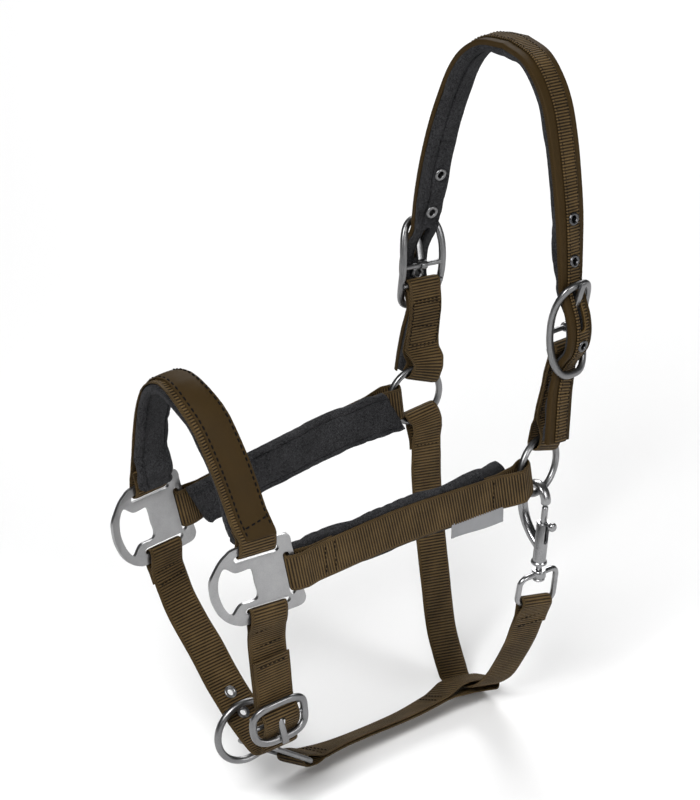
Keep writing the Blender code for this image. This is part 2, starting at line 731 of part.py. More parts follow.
def build_noseband():
    route = nose_route()
    path, widths = looped_strap(route, 7.0, ((*PLATE_LOOP, 17.0), (*PLATE_LOOP, 17.0)))
    sweep_strap("noseband_webbing", path, widths)
    base = smooth_through(route, 7.0)
    cover = trimmed(base, 10.0, 10.0)
    rise = 0.9 + WEB_T / 2 + LAYER + 1.7 * ease(along_route(cover) + 10, 3.0, 12.0)
    layer_of("noseband_cover", cover, rise, rise + NOSE_COVER_T, NOSE_W - 4.0, "cover", 0.8)
    inner = trimmed(base, 7.0, 7.0)
    drop = 0.9 - WEB_T / 2 - LAYER - 3.8 * ease(along_route(inner) + 7, 20.0, 16.0)
    layer_of("noseband_padding", inner, drop - PAD_T, drop, NOSE_W - 0.6, "fleece", 0, 2.4, 1)


# ---------------------------------------------------------------- cheek straps

NEAR_TILT = 11.0  # the cheek strap meets the ring this far below its front
FAR_TILT = 7.0
CHEEK_LEAN = -0.25
PAD_LEAN = -0.5


def cheek_route(ring, tilt):
    start = on_plate(REAR_WEB, REAR_SLOT[1])
    lean = math.radians(REAR_SLOT[2])
    slot = math.cos(lean) * PLATE_A + math.sin(lean) * PLATE_B
    fold = ring.at(RING_FOLD, 180 + tilt)
    edge = ring.across(180 + tilt)
    before = fold + ring.outward(180 + tilt) * 10
    middle = (start + fold) / 2
    return [
        (*start, *slot),
        (*on_plate(REAR_WEB + 7, REAR_SLOT[1], 0.2), *slot),
        (middle[0] - 0.6, middle[1] - 8, middle[2] + 0.6, 0, CHEEK_LEAN, 0.97),
        (*before, *(edge * 0.94)),
        (*fold, *(edge * PINCH)),
    ]


def build_cheeks():
    for side, ring, tilt, word in ((1, NEAR, NEAR_TILT, "near"), (-1, FAR, FAR_TILT, "far")):
        route = cheek_route(ring, tilt)
        path, widths = looped_strap(route, 8.0, ((*PLATE_LOOP, 30.0), (*RING_LOOP, 32.0)))
        sweep_strap(f"cheek_webbing_{word}", path, widths, side=side)
        base = smooth_through(route, 8.0)
        base[:, 3:6] = (0, PAD_LEAN, 0.87)
        inner = trimmed(base, 7.0, 20.0)
        ends = along_route(inner)
        top = 0.9 - WEB_T / 2 - LAYER - 3.4 * ease(ends, 26.0, 14.0)
        layer_of(f"cheek_padding_{word}", inner, top - PAD_T, top, PAD_W, "fleece", 0, 2.4, 1, side)


def build_label():
    route = smooth_through(cheek_route(NEAR, NEAR_TILT), 4.0)
    k = int(np.argmin(np.abs(route[:, 1] + 72.0)))
    centre, t = route[k, :3], tangents(route[:, :3])[k]
    down = unit(np.array([0.0, 0.0, -1.0]) + t[2] * t)
    out = np.cross(down, t)
    out = out if out[0] > 0 else -out
    top, low, half, thick = WEB / 2 + 0.5, WEB / 2 + 12.5, 15.0, 0.8
    corners = [(-half, top), (half, top), (half, low - 1.5), (half - 1.5, low), (1.5 - half, low),
               (-half, low - 1.5)]
    rings = []
    for n in (0.35, 0.35 + thick):
        rings.append([centre + a * t + b * down + n * out for a, b in corners])
    skin("label", rings, "label")


# ---------------------------------------------------------------- chin straps

CHIN_A = (0.1, 0.99, 0.1)
CHIN_UP = (0.01, -0.106, 0.994)
CHIN_BAR_R = 1.3


def chin_buckle():
    return Buckle(CHIN_BUCKLE, CHIN_A, CHIN_UP, 18.0, 12.4, 2.2, (-1.0, -0.5), (5.2, -2.4), CHIN_BAR_R)


# Chin strap from the far plate, under the chin: position and width direction.
CHIN_DROP = [
    (-47.5, -228.6, -293, -0.1, 0.99, 0.06), (-43, -226.3, -306, -0.1, 0.99, 0.06),
    (-31.7, -225, -320, -0.05, 0.99, 0.06), (-18.5, -223.2, -334, 0, 0.99, 0.07),
    (-7, -221.8, -347.7, 0, 0.99, 0.08), (2.2, -220.7, -357, 0, 0.99, 0.09),
    (13.3, -219.7, -366.3, 0.03, 0.99, 0.1), (27, -218.9, -375, 0.05, 0.99, 0.1),
    (38, -219, -378, 0.08, 0.99, 0.1),
]
# Its way through the buckle, as heights along the buckle and away from the face.
CHIN_THREAD = [
    (-20.5, -2.4), (-15.4, -1.8), (-11.2, -1.6), (-6.9, 1.1), (-3.3, 3.1), (0, 3.8), (3.5, 3.5),
    (6.8, 1.7), (10.2, -1.5), (13.5, -1.8), (20, -1.8), (43, -1.6),
]
CHIN_EYELETS = (96.5, 111.0)


def chin_route():
    buckle = chin_buckle()
    far_web = on_plate(BOTTOM_SLOT[0], BOTTOM_WEB) * np.array([-1, 1, 1])
    below = on_plate(BOTTOM_SLOT[0], BOTTOM_WEB - 6) * np.array([-1, 1, 1])
    across = (-PLATE_A[0], PLATE_A[1], 0)
    route = [(*far_web, *across), (*below, *across)] + CHIN_DROP
    for b, n in CHIN_THREAD:
        route.append((*buckle.at(0, b, n), *buckle.a))
    return np.array(route)


def build_chin():
    buckle = chin_buckle()
    buckle.frame("chin_buckle")
    buckle.tongue("chin_tongue", towards=-1)
    route = chin_route()
    path, widths = looped_strap(route, 3.5, ((*PLATE_LOOP, 20.0), None), centred=True)
    strap = sweep_strap("chin_strap", path, widths)
    holes = []
    base = smooth_through(route, 3.5)
    for k, distance in enumerate(CHIN_EYELETS):
        p, t, w, n = station(base, distance)
        eyelet(f"chin_eyelet_{k + 1}", p, n, t, -WEB_T / 2 - LAYER / 2, WEB_T / 2 + LAYER / 2)
        holes.append(cylinder_rings(p - 4 * n, p + 4 * n, EYELET_BARREL + LAYER, 12))
    slot = oval_rings(buckle.at(0, -3.6, 2.6), buckle.n, buckle.b, 6.2, TONGUE_W / 2 + 0.5, -6, 6, 16)
    boolean(strap, cutter_of("chin_holes", holes + [slot]), "DIFFERENCE")
    web = on_plate(BOTTOM_SLOT[0], BOTTOM_WEB)
    bar = buckle.at(0, *buckle.tab_bar)
    tab = [
        (*web, *PLATE_A), (*on_plate(BOTTOM_SLOT[0], BOTTOM_WEB - 7), *PLATE_A),
        (*buckle.at(0, 52, -4.9), 0.1, 0.99, 0.03), (*buckle.at(0, 30, -4.8), *buckle.a),
        (*buckle.at(0, 14, -4.7), *buckle.a), (*buckle.at(0, 10, -4.6), *buckle.a), (*bar, *buckle.a),
    ]
    path, widths = closed_tab(tab, 3.5, PLATE_LOOP, (CHIN_BAR_R + 1.1, 0.4, 4.0, 2.4))
    sweep_strap("chin_tab", path, widths, closed=True)


def station(base, distance):
    """Position, tangent, width direction and normal at a distance along a route."""
    centre = base[:, :3]
    t, w, n = frame_along(centre, base[:, 3:6])
    run = np.concatenate([[0], np.cumsum(np.linalg.norm(np.diff(centre, axis=0), axis=1))])
    pick = np.array([np.interp(distance, run, column) for column in np.hstack([centre, t, w, n]).T])
    return pick[:3], unit(pick[3:6]), unit(pick[6:9]), unit(pick[9:12])


# ---------------------------------------------------------------- under the jaw

LINK_FRONT = (15.0, -213.2, -388.4)
LINK_REAR = (11.5, -178.7, -412.7)
LINK_ACROSS = (0.955, 0.0, 0.3)
LINK_HALF = 14.4
LINK_WIRE = 1.6
JAW_ROUTE = [
    (8, -139, -417.5, 0.955, 0, 0.3), (5.5, -90, -419.5, 0.955, 0, 0.3),
    (4.5, -62, -417.3, 0.955, 0, 0.3), (4.2, -46, -415.2, 0.955, 0, 0.3),
    (4, -31, -417.4, 0.9, 0, 0.28), (3.9, -18.5, -420.4, 0.88, 0, 0.27),
]
THROAT_ROUTE = [
    (-52.2, -22.4, -284.5, -0.03, 0.975, -0.2), (-48.3, -24.3, -303.4, -0.03, 0.975, -0.2),
    (-42, -26.8, -328.4, -0.03, 0.975, -0.2), (-34, -29.4, -356, -0.03, 0.975, -0.2),
    (-25, -32, -387, -0.04, 0.975, -0.22), (-17.5, -32.5, -404, -0.05, 0.97, -0.22),
    (-14, -31.6, -414, -0.05, 0.97, -0.23), (-10.6, -31.2, -420.6, -0.05, 0.97, -0.23),
    (-4, -31, -420.2, -0.03, 0.97, -0.23), (4, -31, -417.5, 0, 0.97, -0.23),
    (10, -31, -415.6, 0, 0.97, -0.23), (17, -30.5, -412.6, 0.02, 0.97, -0.2),
    (26, -28.5, -404, 0.03, 0.975, -0.2), (36, -27, -386.5, 0.03, 0.975, -0.2),
    (46, -26.7, -367, 0.03, 0.98, -0.2), (53, -27, -351, 0.03, 0.98, -0.2),
]


def build_lead():
    LEAD.build("lead_ring", steps=30)
    front, rear = np.array(LINK_FRONT, float), np.array(LINK_REAR, float)
    along = unit(rear - front)
    across = unit(np.array(LINK_ACROSS) - np.dot(LINK_ACROSS, along) * along)
    reach = np.linalg.norm(rear - front) / 2
    path = [(front + rear) / 2 + along * u + across * v for u, v in rounded_loop(reach, LINK_HALF, 6.0)]
    wire_loop("lead_link", path, np.cross(along, across), LINK_WIRE, "steel", 1, 8)
    route = [(*rear, *(0.87 * across)), (*(rear + (-0.5, 9, -1.5)), *(0.94 * across))] + JAW_ROUTE
    path, widths = closed_tab(route, 6.0, (LINK_WIRE + 2.0, 1.8, 10.0, 4.3), (3.5, 26.0, 16.0, 1.5))
    sweep_strap("jaw_strap", path, widths, closed=True)


def build_throat():
    mirror = np.array([-1, 1, 1])
    fold = FAR.at(RING_FOLD, 270 + 18) * mirror
    edge = -FAR.across(270 + 18) * mirror
    out = FAR.outward(270 + 18) * mirror
    bar = np.array(EYE_BAR)
    route = [(*fold, *(edge * PINCH)), (*(fold + out * 9), *(edge * 0.94))] + THROAT_ROUTE
    route.append((*bar, *(0.92 * np.array(EYE_ACROSS))))
    ends = ((*RING_LOOP, 24.0), (EYE_WIRE + 1.6, 1.8, 8.0, 4.2, 20.0))
    path, widths = looped_strap(route, 6.0, ends, centred=True)
    sweep_strap("throat_strap", path, widths)


# ---------------------------------------------------------------- bolt snap

SNAP_Y = -28.0
EYE_BAR = (58.0, -28.0, -337.0)
EYE_ACROSS = (0.03, 0.98, -0.2)
EYE_WIRE = 1.8
EYE_HALF = 14.6
HOOK = [(60.5, -297), (54, -291.5), (48.6, -284), (45.8, -274.5), (47.2, -265), (51.8, -258.8),
        (58, -256.3), (63.6, -258.2), (66.3, -263), (66.3, -267.3)]
BARREL_FOOT = (61.3, SNAP_Y, -309.0)
BARREL_AXIS = (0.118, 0, 0.993)
BARREL_R = 4.1
BARREL_TOP = 29.6
BORE_R = 2.35
BOLT_R = 2.0
BOLT_LOW, BOLT_HIGH = 15.5, 41.0
SWIVEL_X = 61.5
COLLAR = (-318.6, -313.6)
SHANK_R = 1.9


def build_snap():
    foot, axis = np.array(BARREL_FOOT), unit(BARREL_AXIS)
    side = np.array([0.0, 1.0, 0.0])
    barrel = [(0, 0), (5.0, 0), (5.0, 1.6), (BARREL_R, 2.4), (BARREL_R, BARREL_TOP),
              (BORE_R, BARREL_TOP), (BORE_R, 3.4), (0, 3.4)]
    body = lathe("snap_body", barrel, foot, axis, side, "steel", 20, True)
    hook = [(x, SNAP_Y, z) for x, z in HOOK]
    route = smooth_through(hook, 3.6)
    section = rounded_section(3.2, -2.4, 2.4, 1.5, 2)
    piece = sweep("snap_hook", route, side, section, None)
    boolean(body, piece, "UNION")
    shank_top = np.array([SWIVEL_X, SNAP_Y, foot[2] + 1.0])
    shank = cylinder_rings(shank_top, (SWIVEL_X, SNAP_Y, -321.6), SHANK_R, 16)
    boolean(body, cutter_of("snap_shank", [shank]), "UNION")
    bore = cylinder_rings(foot + axis * 3.4, foot + axis * 36, BORE_R, 20)
    slot = oval_rings(foot + axis * 23.6 + (5.0, 0, 0), (1, 0, 0), axis, 8.4, 1.6, -4.6, 6, 14)
    boolean(body, cutter_of("snap_bore", [bore]), "DIFFERENCE")
    boolean(body, cutter_of("snap_slot", [slot]), "DIFFERENCE")
    rod = [(0, BOLT_LOW), (BOLT_R, BOLT_LOW), (BOLT_R, BOLT_HIGH - 1), (BOLT_R - 0.8, BOLT_HIGH),
           (0, BOLT_HIGH)]
    bolt = lathe("snap_bolt", rod, foot, axis, side, "steel", 16, True)
    lever = foot + axis * 28.6
    stem = cylinder_rings(lever, lever + (8.6, 0, 0.6), 1.15, 12)
    knob = lathe("snap_knob", [(0, 0), (2.2, 0), (2.8, 0.9), (2.8, 2.2), (1.8, 3.2), (0, 3.4)],
                 lever + (6.6, 0, 0.4), (1, 0, 0.08), side, None, 14, True)
    boolean(bolt, cutter_of("snap_stem", [stem]), "UNION")
    boolean(bolt, knob, "UNION")
    coil = []
    turns, low, high = 4, 4.2, BOLT_LOW - 0.7
    across = np.cross(axis, side)
    for k in range(turns * 8 + 1):
        angle = 2 * math.pi * k / 8
        height = low + (high - low) * k / (turns * 8)
        coil.append(foot + axis * height + 1.6 * (math.cos(angle) * side + math.sin(angle) * across))
    angles = np.arange(5) * math.pi / 2.5
    sweep("snap_spring", coil, axis, 0.35 * np.stack([np.cos(angles), np.sin(angles)], axis=1), "steel")
    build_eye(side)


def build_eye(side):
    centre = np.array([SWIVEL_X, SNAP_Y, 0.0])
    collar = [(SHANK_R + 0.3, COLLAR[0]), (4.3, COLLAR[0]), (4.3, COLLAR[1]), (SHANK_R + 0.3, COLLAR[1])]
    eye = lathe("snap_eye", collar, centre, np.array([0.0, 0, 1]), side, "steel", 20)
    top, bar = np.array([SWIVEL_X, SNAP_Y, -316.1]), np.array(EYE_BAR)
    across = unit(EYE_ACROSS)
    down = bar - top
    path = []
    height = np.linalg.norm(down)
    for u, v in rounded_loop(height / 2, EYE_HALF, 5.0, 4):
        depth = u / height + 0.5
        path.append(top + down * depth + (side * (1 - depth) + across * depth) * v)
    normal = np.cross(down, across)
    loop = wire_loop("snap_eye_loop", path, unit(normal), EYE_WIRE, None, 1, 8)
    boolean(eye, loop, "UNION")
    hole = cylinder_rings((SWIVEL_X, SNAP_Y, -330), (SWIVEL_X, SNAP_Y, -310), SHANK_R + 0.3, 20)
    boolean(eye, cutter_of("snap_eye_hole", [hole]), "DIFFERENCE")
    washer = [(SHANK_R + 0.25, -320.6), (3.7, -320.6), (3.7, -319.0), (SHANK_R + 0.25, -319.0)]
    lathe("snap_rivet", washer, centre, np.array([0.0, 0, 1]), side, "steel", 16)


clear_scene()
build_crown()
build_crown_buckles()
NEAR.build("cheek_ring_near")
FAR.build("cheek_ring_far", -1)
build_plates()
build_noseband()
build_cheeks()
build_label()
build_chin()
build_lead()
build_throat()
build_snap()
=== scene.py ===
# Looks of the padded webbing headcollar: woven straps, fleece pads, stitching and plated fittings.
# Frame: origin under the middle of the crown, +Z up, nose along -Y, +X is the near side. Tables
# are in millimetres, with heights measured from RAISE above the origin, as in the CAD source.
import json
import math

import bmesh
import bpy
import numpy as np
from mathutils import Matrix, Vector

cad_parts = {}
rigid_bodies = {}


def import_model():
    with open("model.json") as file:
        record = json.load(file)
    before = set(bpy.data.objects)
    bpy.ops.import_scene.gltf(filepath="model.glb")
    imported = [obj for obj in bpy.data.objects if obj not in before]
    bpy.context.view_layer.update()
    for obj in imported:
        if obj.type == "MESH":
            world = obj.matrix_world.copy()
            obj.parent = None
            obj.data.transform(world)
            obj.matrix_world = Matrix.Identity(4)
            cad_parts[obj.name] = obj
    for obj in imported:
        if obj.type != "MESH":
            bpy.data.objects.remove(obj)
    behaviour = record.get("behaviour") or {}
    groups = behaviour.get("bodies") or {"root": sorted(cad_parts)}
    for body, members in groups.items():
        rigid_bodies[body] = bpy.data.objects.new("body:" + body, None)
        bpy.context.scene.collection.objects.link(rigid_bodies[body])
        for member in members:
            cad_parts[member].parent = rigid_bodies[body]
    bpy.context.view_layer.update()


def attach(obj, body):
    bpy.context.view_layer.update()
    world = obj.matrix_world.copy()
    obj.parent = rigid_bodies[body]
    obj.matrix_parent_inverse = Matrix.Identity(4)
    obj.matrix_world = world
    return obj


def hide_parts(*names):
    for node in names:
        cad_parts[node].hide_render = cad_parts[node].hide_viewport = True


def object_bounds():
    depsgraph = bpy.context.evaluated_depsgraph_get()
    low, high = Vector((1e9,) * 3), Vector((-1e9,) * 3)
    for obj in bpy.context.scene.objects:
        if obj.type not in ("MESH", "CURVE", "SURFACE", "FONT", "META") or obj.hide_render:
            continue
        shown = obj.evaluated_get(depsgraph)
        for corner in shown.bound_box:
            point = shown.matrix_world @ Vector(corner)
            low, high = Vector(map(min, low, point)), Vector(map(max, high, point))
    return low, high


for leftover in list(bpy.data.objects):
    bpy.data.objects.remove(leftover, do_unlink=True)
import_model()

MM = 0.001
RAISE = 2.5
WEB = 25.0
WEB_T = 1.5
LAYER = 0.3
PAD_W = 31.0
PAD_T = 6.5
RIB = 1.85  # pitch of the cross ribs of the webbing
RIB_DEPTH = 0.28
STITCH = (2.3, 0.9, 0.27)  # length, gap and radius of a stitch
STRAP_STITCH = (2.2, 0.9, 0.36)
TAB_STITCH = (2.2, 0.8, 0.34)
CROWN_STITCH = (1.9, 1.0, 0.2)
COVER_STITCH = (2.7, 1.3, 0.52)
MIRROR = np.array([-1, 1, 1])  # the far side of a point or direction

# ---------------------------------------------------------------- curves


def unit(vector):
    vector = np.asarray(vector, float)
    return vector / np.linalg.norm(vector)


def run_of(points):
    return np.concatenate([[0], np.cumsum(np.linalg.norm(np.diff(points[:, :3], axis=0), axis=1))])


def sampled(table, run, at):
    """Rows of a table read off at other distances along it."""
    return np.stack([np.interp(at, run, column) for column in table.T], axis=-1)


def bend(corners, t):
    """Catmull-Rom curve between the middle two of four points."""
    p0, p1, p2, p3 = corners
    return 0.5 * (2 * p1 + (p2 - p0) * t + (2 * p0 - 5 * p1 + 4 * p2 - p3) * t ** 2
                  + (3 * p1 - p0 - 3 * p2 + p3) * t ** 3)


def smooth_through(points, step):
    """Evenly spaced samples of a smooth curve through the points; extra columns are carried along."""
    points = np.asarray(points, float)
    ends = np.vstack([2 * points[0] - points[1], points, 2 * points[-1] - points[-2]])
    t = np.linspace(0, 1, 48, endpoint=False)[:, None]
    fine = [bend(ends[i - 1 : i + 3], t) for i in range(1, len(ends) - 2)]
    fine = np.vstack([*fine, points[-1:]])
    run = run_of(fine)
    return sampled(fine, run, np.linspace(0, run[-1], max(2, int(round(run[-1] / step)) + 1)))


def closed_curve(points, step):
    points = np.asarray(points, float)
    wrapped = np.vstack([points[-1:], points, points[:2]])
    fine = []
    for i in range(1, len(points) + 1):
        pieces = max(1, int(round(np.linalg.norm(wrapped[i + 1] - wrapped[i]) / step)))
        fine.append(bend(wrapped[i - 1 : i + 3], (np.arange(pieces) / pieces)[:, None]))
    return np.vstack(fine)


def tangents(path, closed=False):
    if closed:
        along = np.roll(path, -1, axis=0) - np.roll(path, 1, axis=0)
    else:
        along = np.gradient(path, axis=0)
    return along / np.linalg.norm(along, axis=1)[:, None]


def frame_along(path, across, closed=False):
    t = tangents(path, closed)
    w = across - (across * t).sum(1)[:, None] * t
    w /= np.linalg.norm(w, axis=1)[:, None]
    return t, w, np.cross(t, w)


def skewed(path, across):
    square = np.linalg.norm(np.cross(tangents(path), across), axis=1)[:, None]
    return across * np.linalg.norm(across, axis=1)[:, None] / np.maximum(square, 0.5)


def ease(distance, flat, length):
    """1 up to flat, then smoothly down to 0 over length."""
    k = np.clip((distance - flat) / length, 0, 1)
    return 1 - k * k * (3 - 2 * k)


def nose(centre, outward, normal, gap, reach, steps):
    angles = np.linspace(0, math.pi, steps + 2)[1:-1]
    return [centre + outward * reach * math.sin(a) + normal * gap * math.cos(a) for a in angles]


def looped_strap(route, step, ends, centred=False):
    """Path and width directions of a strap whose ends turn round a bar and come back.

    An end is (gap at the bar, flat length, easing length, reach of the fold, length of the leaf
    that comes back), or None. centred brings a single layer to the middle of the route.
    """
    rest_gap = WEB_T / 2 + LAYER / 2
    base = smooth_through(route, step)
    centre, w = base[:, :3], skewed(base[:, :3], base[:, 3:6])
    t, _, n = frame_along(centre, w)
    run = run_of(centre)
    gaps = np.full(len(run), rest_gap)
    if centred:
        single = [1 - ease(d, end[4] + 2, 14) for end, d in zip(ends, (run, run[-1] - run)) if end]
        gaps *= 1 - np.prod(single, axis=0)
    for end, distance in ((ends[0], run), (ends[1], run[-1] - run)):
        if end:
            gaps = gaps + (end[0] - rest_gap) * ease(distance, end[1], end[2])
    points, widths = [], []

    def turn(k, outward, normal, reach):
        count = max(6, int(2.4 * (gaps[k] + reach) / step))
        for p in nose(centre[k], outward, normal, gaps[k], reach, count):
            points.append(p)
            widths.append(w[k])

    def back(distance, limit):
        for k in range(len(run) - 1, -1, -1):
            if distance[k] <= limit:
                points.append(centre[k] - n[k] * gaps[k])
                widths.append(w[k])

    if ends[0]:
        back(run, ends[0][4])
        turn(0, -t[0], -n[0], ends[0][3])
    points.extend(centre + n * gaps[:, None])
    widths.extend(w)
    if ends[1]:
        turn(-1, t[-1], n[-1], ends[1][3])
        back(run[-1] - run, ends[1][4])
    return np.array(points), np.array(widths)


def tab_ends(first, last):
    """Ends of a strap that is one closed loop, round the bars at both ends of its route."""
    return (*first, -1.0), (*last, 1e9)


def resampled(path, widths, step, closed, soften=0.9):
    """The same strap with even steps and its corners eased, so that its ribs are even."""
    table = np.hstack([path, widths])
    if closed:
        table = np.vstack([table, table[:1]])
    run = run_of(table)
    count = max(4, int(round(run[-1] / step)))
    at = np.linspace(0, run[-1], count + (0 if closed else 1), endpoint=not closed)
    table = sampled(table, run, at)
    reach = max(1, int(3 * soften / step))
    weights = np.exp(-0.5 * (np.arange(-reach, reach + 1) * step / soften) ** 2)
    weights /= weights.sum()
    if closed:
        padded = np.vstack([table[-reach:], table, table[:reach]])
    else:
        before = 2 * table[0] - table[reach:0:-1]
        after = 2 * table[-1] - table[-2 : -reach - 2 : -1]
        padded = np.vstack([before, table, after])
    table = np.stack([np.convolve(column, weights, "valid") for column in padded.T], axis=1)
    return table[:, :3], table[:, 3:6], at


def even(base, step):
    path, widths, _ = resampled(base[:, :3], base[:, 3:6], step, False)
    return np.hstack([path, widths])


def trimmed(base, start, end):
    run = run_of(base)
    inside = run[(run > start) & (run < run[-1] - end)]
    at = np.concatenate([[start], inside, [run[-1] - end]])
    return sampled(base, run, at)


def from_ends(base):
    """Distance of each point of a route from the nearer end."""
    run = run_of(base)
    return np.minimum(run, run[-1] - run)


def station(base, distance):
    """Point of a route, with its directions along, across and out."""
    t, w, n = frame_along(base[:, :3], base[:, 3:6])
    pick = sampled(np.hstack([base[:, :3], t, w, n]), run_of(base), distance)
    return pick[:3], unit(pick[3:6]), unit(pick[6:9]), unit(pick[9:12])


# ---------------------------------------------------------------- meshes


def place(points, side=1):
    """Millimetre points of the tables as metres in the row frame."""
    points = np.asarray(points, float)
    return (points * [side, 1, 1] + [0, 0, RAISE]) * MM


def new_object(name, vertices, faces, side=1, uvs=None, smooth=40.0):
    mesh = bpy.data.meshes.new(name)
    mesh.from_pydata(place(vertices, side).tolist(), [], faces)
    bm = bmesh.new()
    bm.from_mesh(mesh)
    bmesh.ops.recalc_face_normals(bm, faces=bm.faces)
    if bm.calc_volume(signed=True) < 0:
        bmesh.ops.reverse_faces(bm, faces=bm.faces)
    if uvs is not None:
        bm.verts.index_update()
        layer = bm.loops.layers.uv.new("cloth")
        for face in bm.faces:
            seam = [uvs[loop.vert.index][1] for loop in face.loops]
            wrap = max(seam) if max(seam) - min(seam) > 20 else None
            for loop in face.loops:
                u, v = uvs[loop.vert.index]
                if wrap and v < wrap / 2:
                    v = wrap
                loop[layer].uv = (u, v)
    bm.to_mesh(mesh)
    bm.free()
    obj = bpy.data.objects.new(name, mesh)
    bpy.context.scene.collection.objects.link(obj)
    finish_shading(obj, smooth)
    return obj


def finish_shading(obj, angle):
    obj.data.shade_smooth()
    obj.data.set_sharp_from_angle(angle=math.radians(angle))


def skin(name, rings, closed=False, side=1, uvs=None, smooth=40.0):
    """Surface through a run of equal cross-sections, capped at both ends unless closed."""
    rings = np.asarray(rings)
    count, around = rings.shape[:2]
    k = np.arange(count if closed else count - 1)[:, None] * around
    j = np.arange(around)[None, :]
    m = (j + 1) % around
    nxt = (k + around) % (count * around)
    faces = np.stack([k + j, k + m, nxt + m, nxt + j], axis=-1).reshape(-1, 4).tolist()
    if not closed:
        faces.append(list(range(around)))
        faces.append([(count - 1) * around + j for j in range(around - 1, -1, -1)])
    return new_object(name, rings.reshape(-1, 3), faces, side, uvs, smooth)


def applied(obj):
    """Turns the object's modifiers into its mesh."""
    graph = bpy.context.evaluated_depsgraph_get()
    mesh = bpy.data.meshes.new_from_object(obj.evaluated_get(graph), depsgraph=graph)
    old = obj.data
    obj.modifiers.clear()
    obj.data = mesh
    bpy.data.meshes.remove(old)
    return obj


def modify(obj, kind, **settings):
    modifier = obj.modifiers.new(kind.lower(), kind)
    for key, value in settings.items():
        setattr(modifier, key, value)
    return modifier


def boolean(obj, others, operation="DIFFERENCE", keep=False):
    for other in others:
        modify(obj, "BOOLEAN", operation=operation, solver="MANIFOLD", object=other)
    applied(obj)
    if not keep:
        for other in others:
            bpy.data.objects.remove(other, do_unlink=True)
    return obj


def bevel(obj, width, segments=2, angle=35.0):
    modify(obj, "BEVEL", width=width * MM, segments=segments, limit_method="ANGLE",
           angle_limit=math.radians(angle), harden_normals=False)
    return applied(obj)


def joined(name, objects):
    """One object of several, keeping their material slots."""
    bm = bmesh.new()
    materials = []
    for obj in objects:
        first = len(bm.faces)
        bm.from_mesh(obj.data)
        bm.faces.ensure_lookup_table()
        offset = {}
        for k, slot in enumerate(obj.data.materials):
            if slot not in materials:
                materials.append(slot)
            offset[k] = materials.index(slot)
        for face in bm.faces[first:]:
            face.material_index = offset.get(face.material_index, 0)
    mesh = bpy.data.meshes.new(name)
    bm.to_mesh(mesh)
    bm.free()
    for slot in materials:
        mesh.materials.append(slot)
    for obj in objects:
        bpy.data.objects.remove(obj, do_unlink=True)
    made = bpy.data.objects.new(name, mesh)
    bpy.context.scene.collection.objects.link(made)
    return made


def prism(name, low, high, side=1):
    around = len(low)
    faces = [list(range(around)), [2 * around - 1 - j for j in range(around)]]
    for j in range(around):
        m = (j + 1) % around
        faces.append([j, m, around + m, around + j])
    return new_object(name, np.vstack([low, high]), faces, side)


def circle(centre, axis, radius, sides=32):
    axis = unit(axis)
    first = unit(np.cross(axis, (0.3, 0.2, 1.0) if abs(axis[2]) < 0.9 else (1.0, 0.2, 0.1)))
    second = np.cross(axis, first)
    angles = np.arange(sides) * 2 * math.pi / sides
    return centre + radius * (np.cos(angles)[:, None] * first + np.sin(angles)[:, None] * second)


def rod(name, start, end, radius, side=1, sides=32):
    start, end = np.asarray(start, float), np.asarray(end, float)
    low, high = (circle(centre, end - start, radius, sides) for centre in (start, end))
    return prism(name, low, high, side)


def oval(centre, axis, along, half_long, half_wide, low, high, sides=48):
    axis = unit(axis)
    along = unit(np.asarray(along) - np.dot(along, axis) * axis)
    wide = np.cross(axis, along)
    angles = (np.arange(sides) + 0.5) * 2 * math.pi / sides
    shape = np.stack([half_wide * np.cos(angles), half_wide * np.sin(angles)], axis=1)
    shape[:, 0] += np.where(shape[:, 0] > 0, 1, -1) * (half_long - half_wide)
    flat = centre + shape[:, :1] * along + shape[:, 1:] * wide
    return flat + low * axis, flat + high * axis


def lathe(name, profile, origin, axis, side=1, sides=40, smooth=35.0):
    """Solid of revolution of (radius, height) rows, from pole to pole or closed."""
    axis = unit(axis)
    origin = np.asarray(origin, float)
    vertices, index = [], []
    for r, h in profile:
        if r == 0:
            index.append([len(vertices)] * sides)
            vertices.append(origin + h * axis)
            continue
        index.append(list(range(len(vertices), len(vertices) + sides)))
        vertices.extend(circle(origin + h * axis, axis, r, sides))
    faces = []
    rows = len(profile) if profile[0][0] else len(profile) - 1
    for i in range(rows):
        upper, lower = index[i], index[(i + 1) % len(profile)]
        for k in range(sides):
            m = (k + 1) % sides
            face = list(dict.fromkeys([upper[k], upper[m], lower[m], lower[k]]))
            if len(face) > 2:
                faces.append(face)
    return new_object(name, vertices, faces, side, smooth=smooth)


def rings_on(path, widths, normals, outlines):
    """Cross-sections of (across, off) rows set out along a path."""
    return path[:, None] + outlines[..., :1] * widths[:, None] + outlines[..., 1:] * normals[:, None]


def sweep(name, path, across, outline, closed=False, side=1):
    path = np.asarray(path, float)
    _, w, n = frame_along(path, np.broadcast_to(across, path.shape), closed)
    outlines = np.broadcast_to(outline, (len(path), *np.shape(outline)[-2:]))
    return skin(name, rings_on(path, w, n, outlines), closed, side, smooth=60.0)


def oval_outline(half_w, half_n, sides=20, power=2.0):
    angles = (np.arange(sides) + 0.5) * 2 * math.pi / sides
    c, s = np.cos(angles), np.sin(angles)
    return np.stack([half_w * np.sign(c) * abs(c) ** (2 / power),
                     half_n * np.sign(s) * abs(s) ** (2 / power)], axis=1)


# ---------------------------------------------------------------- materials


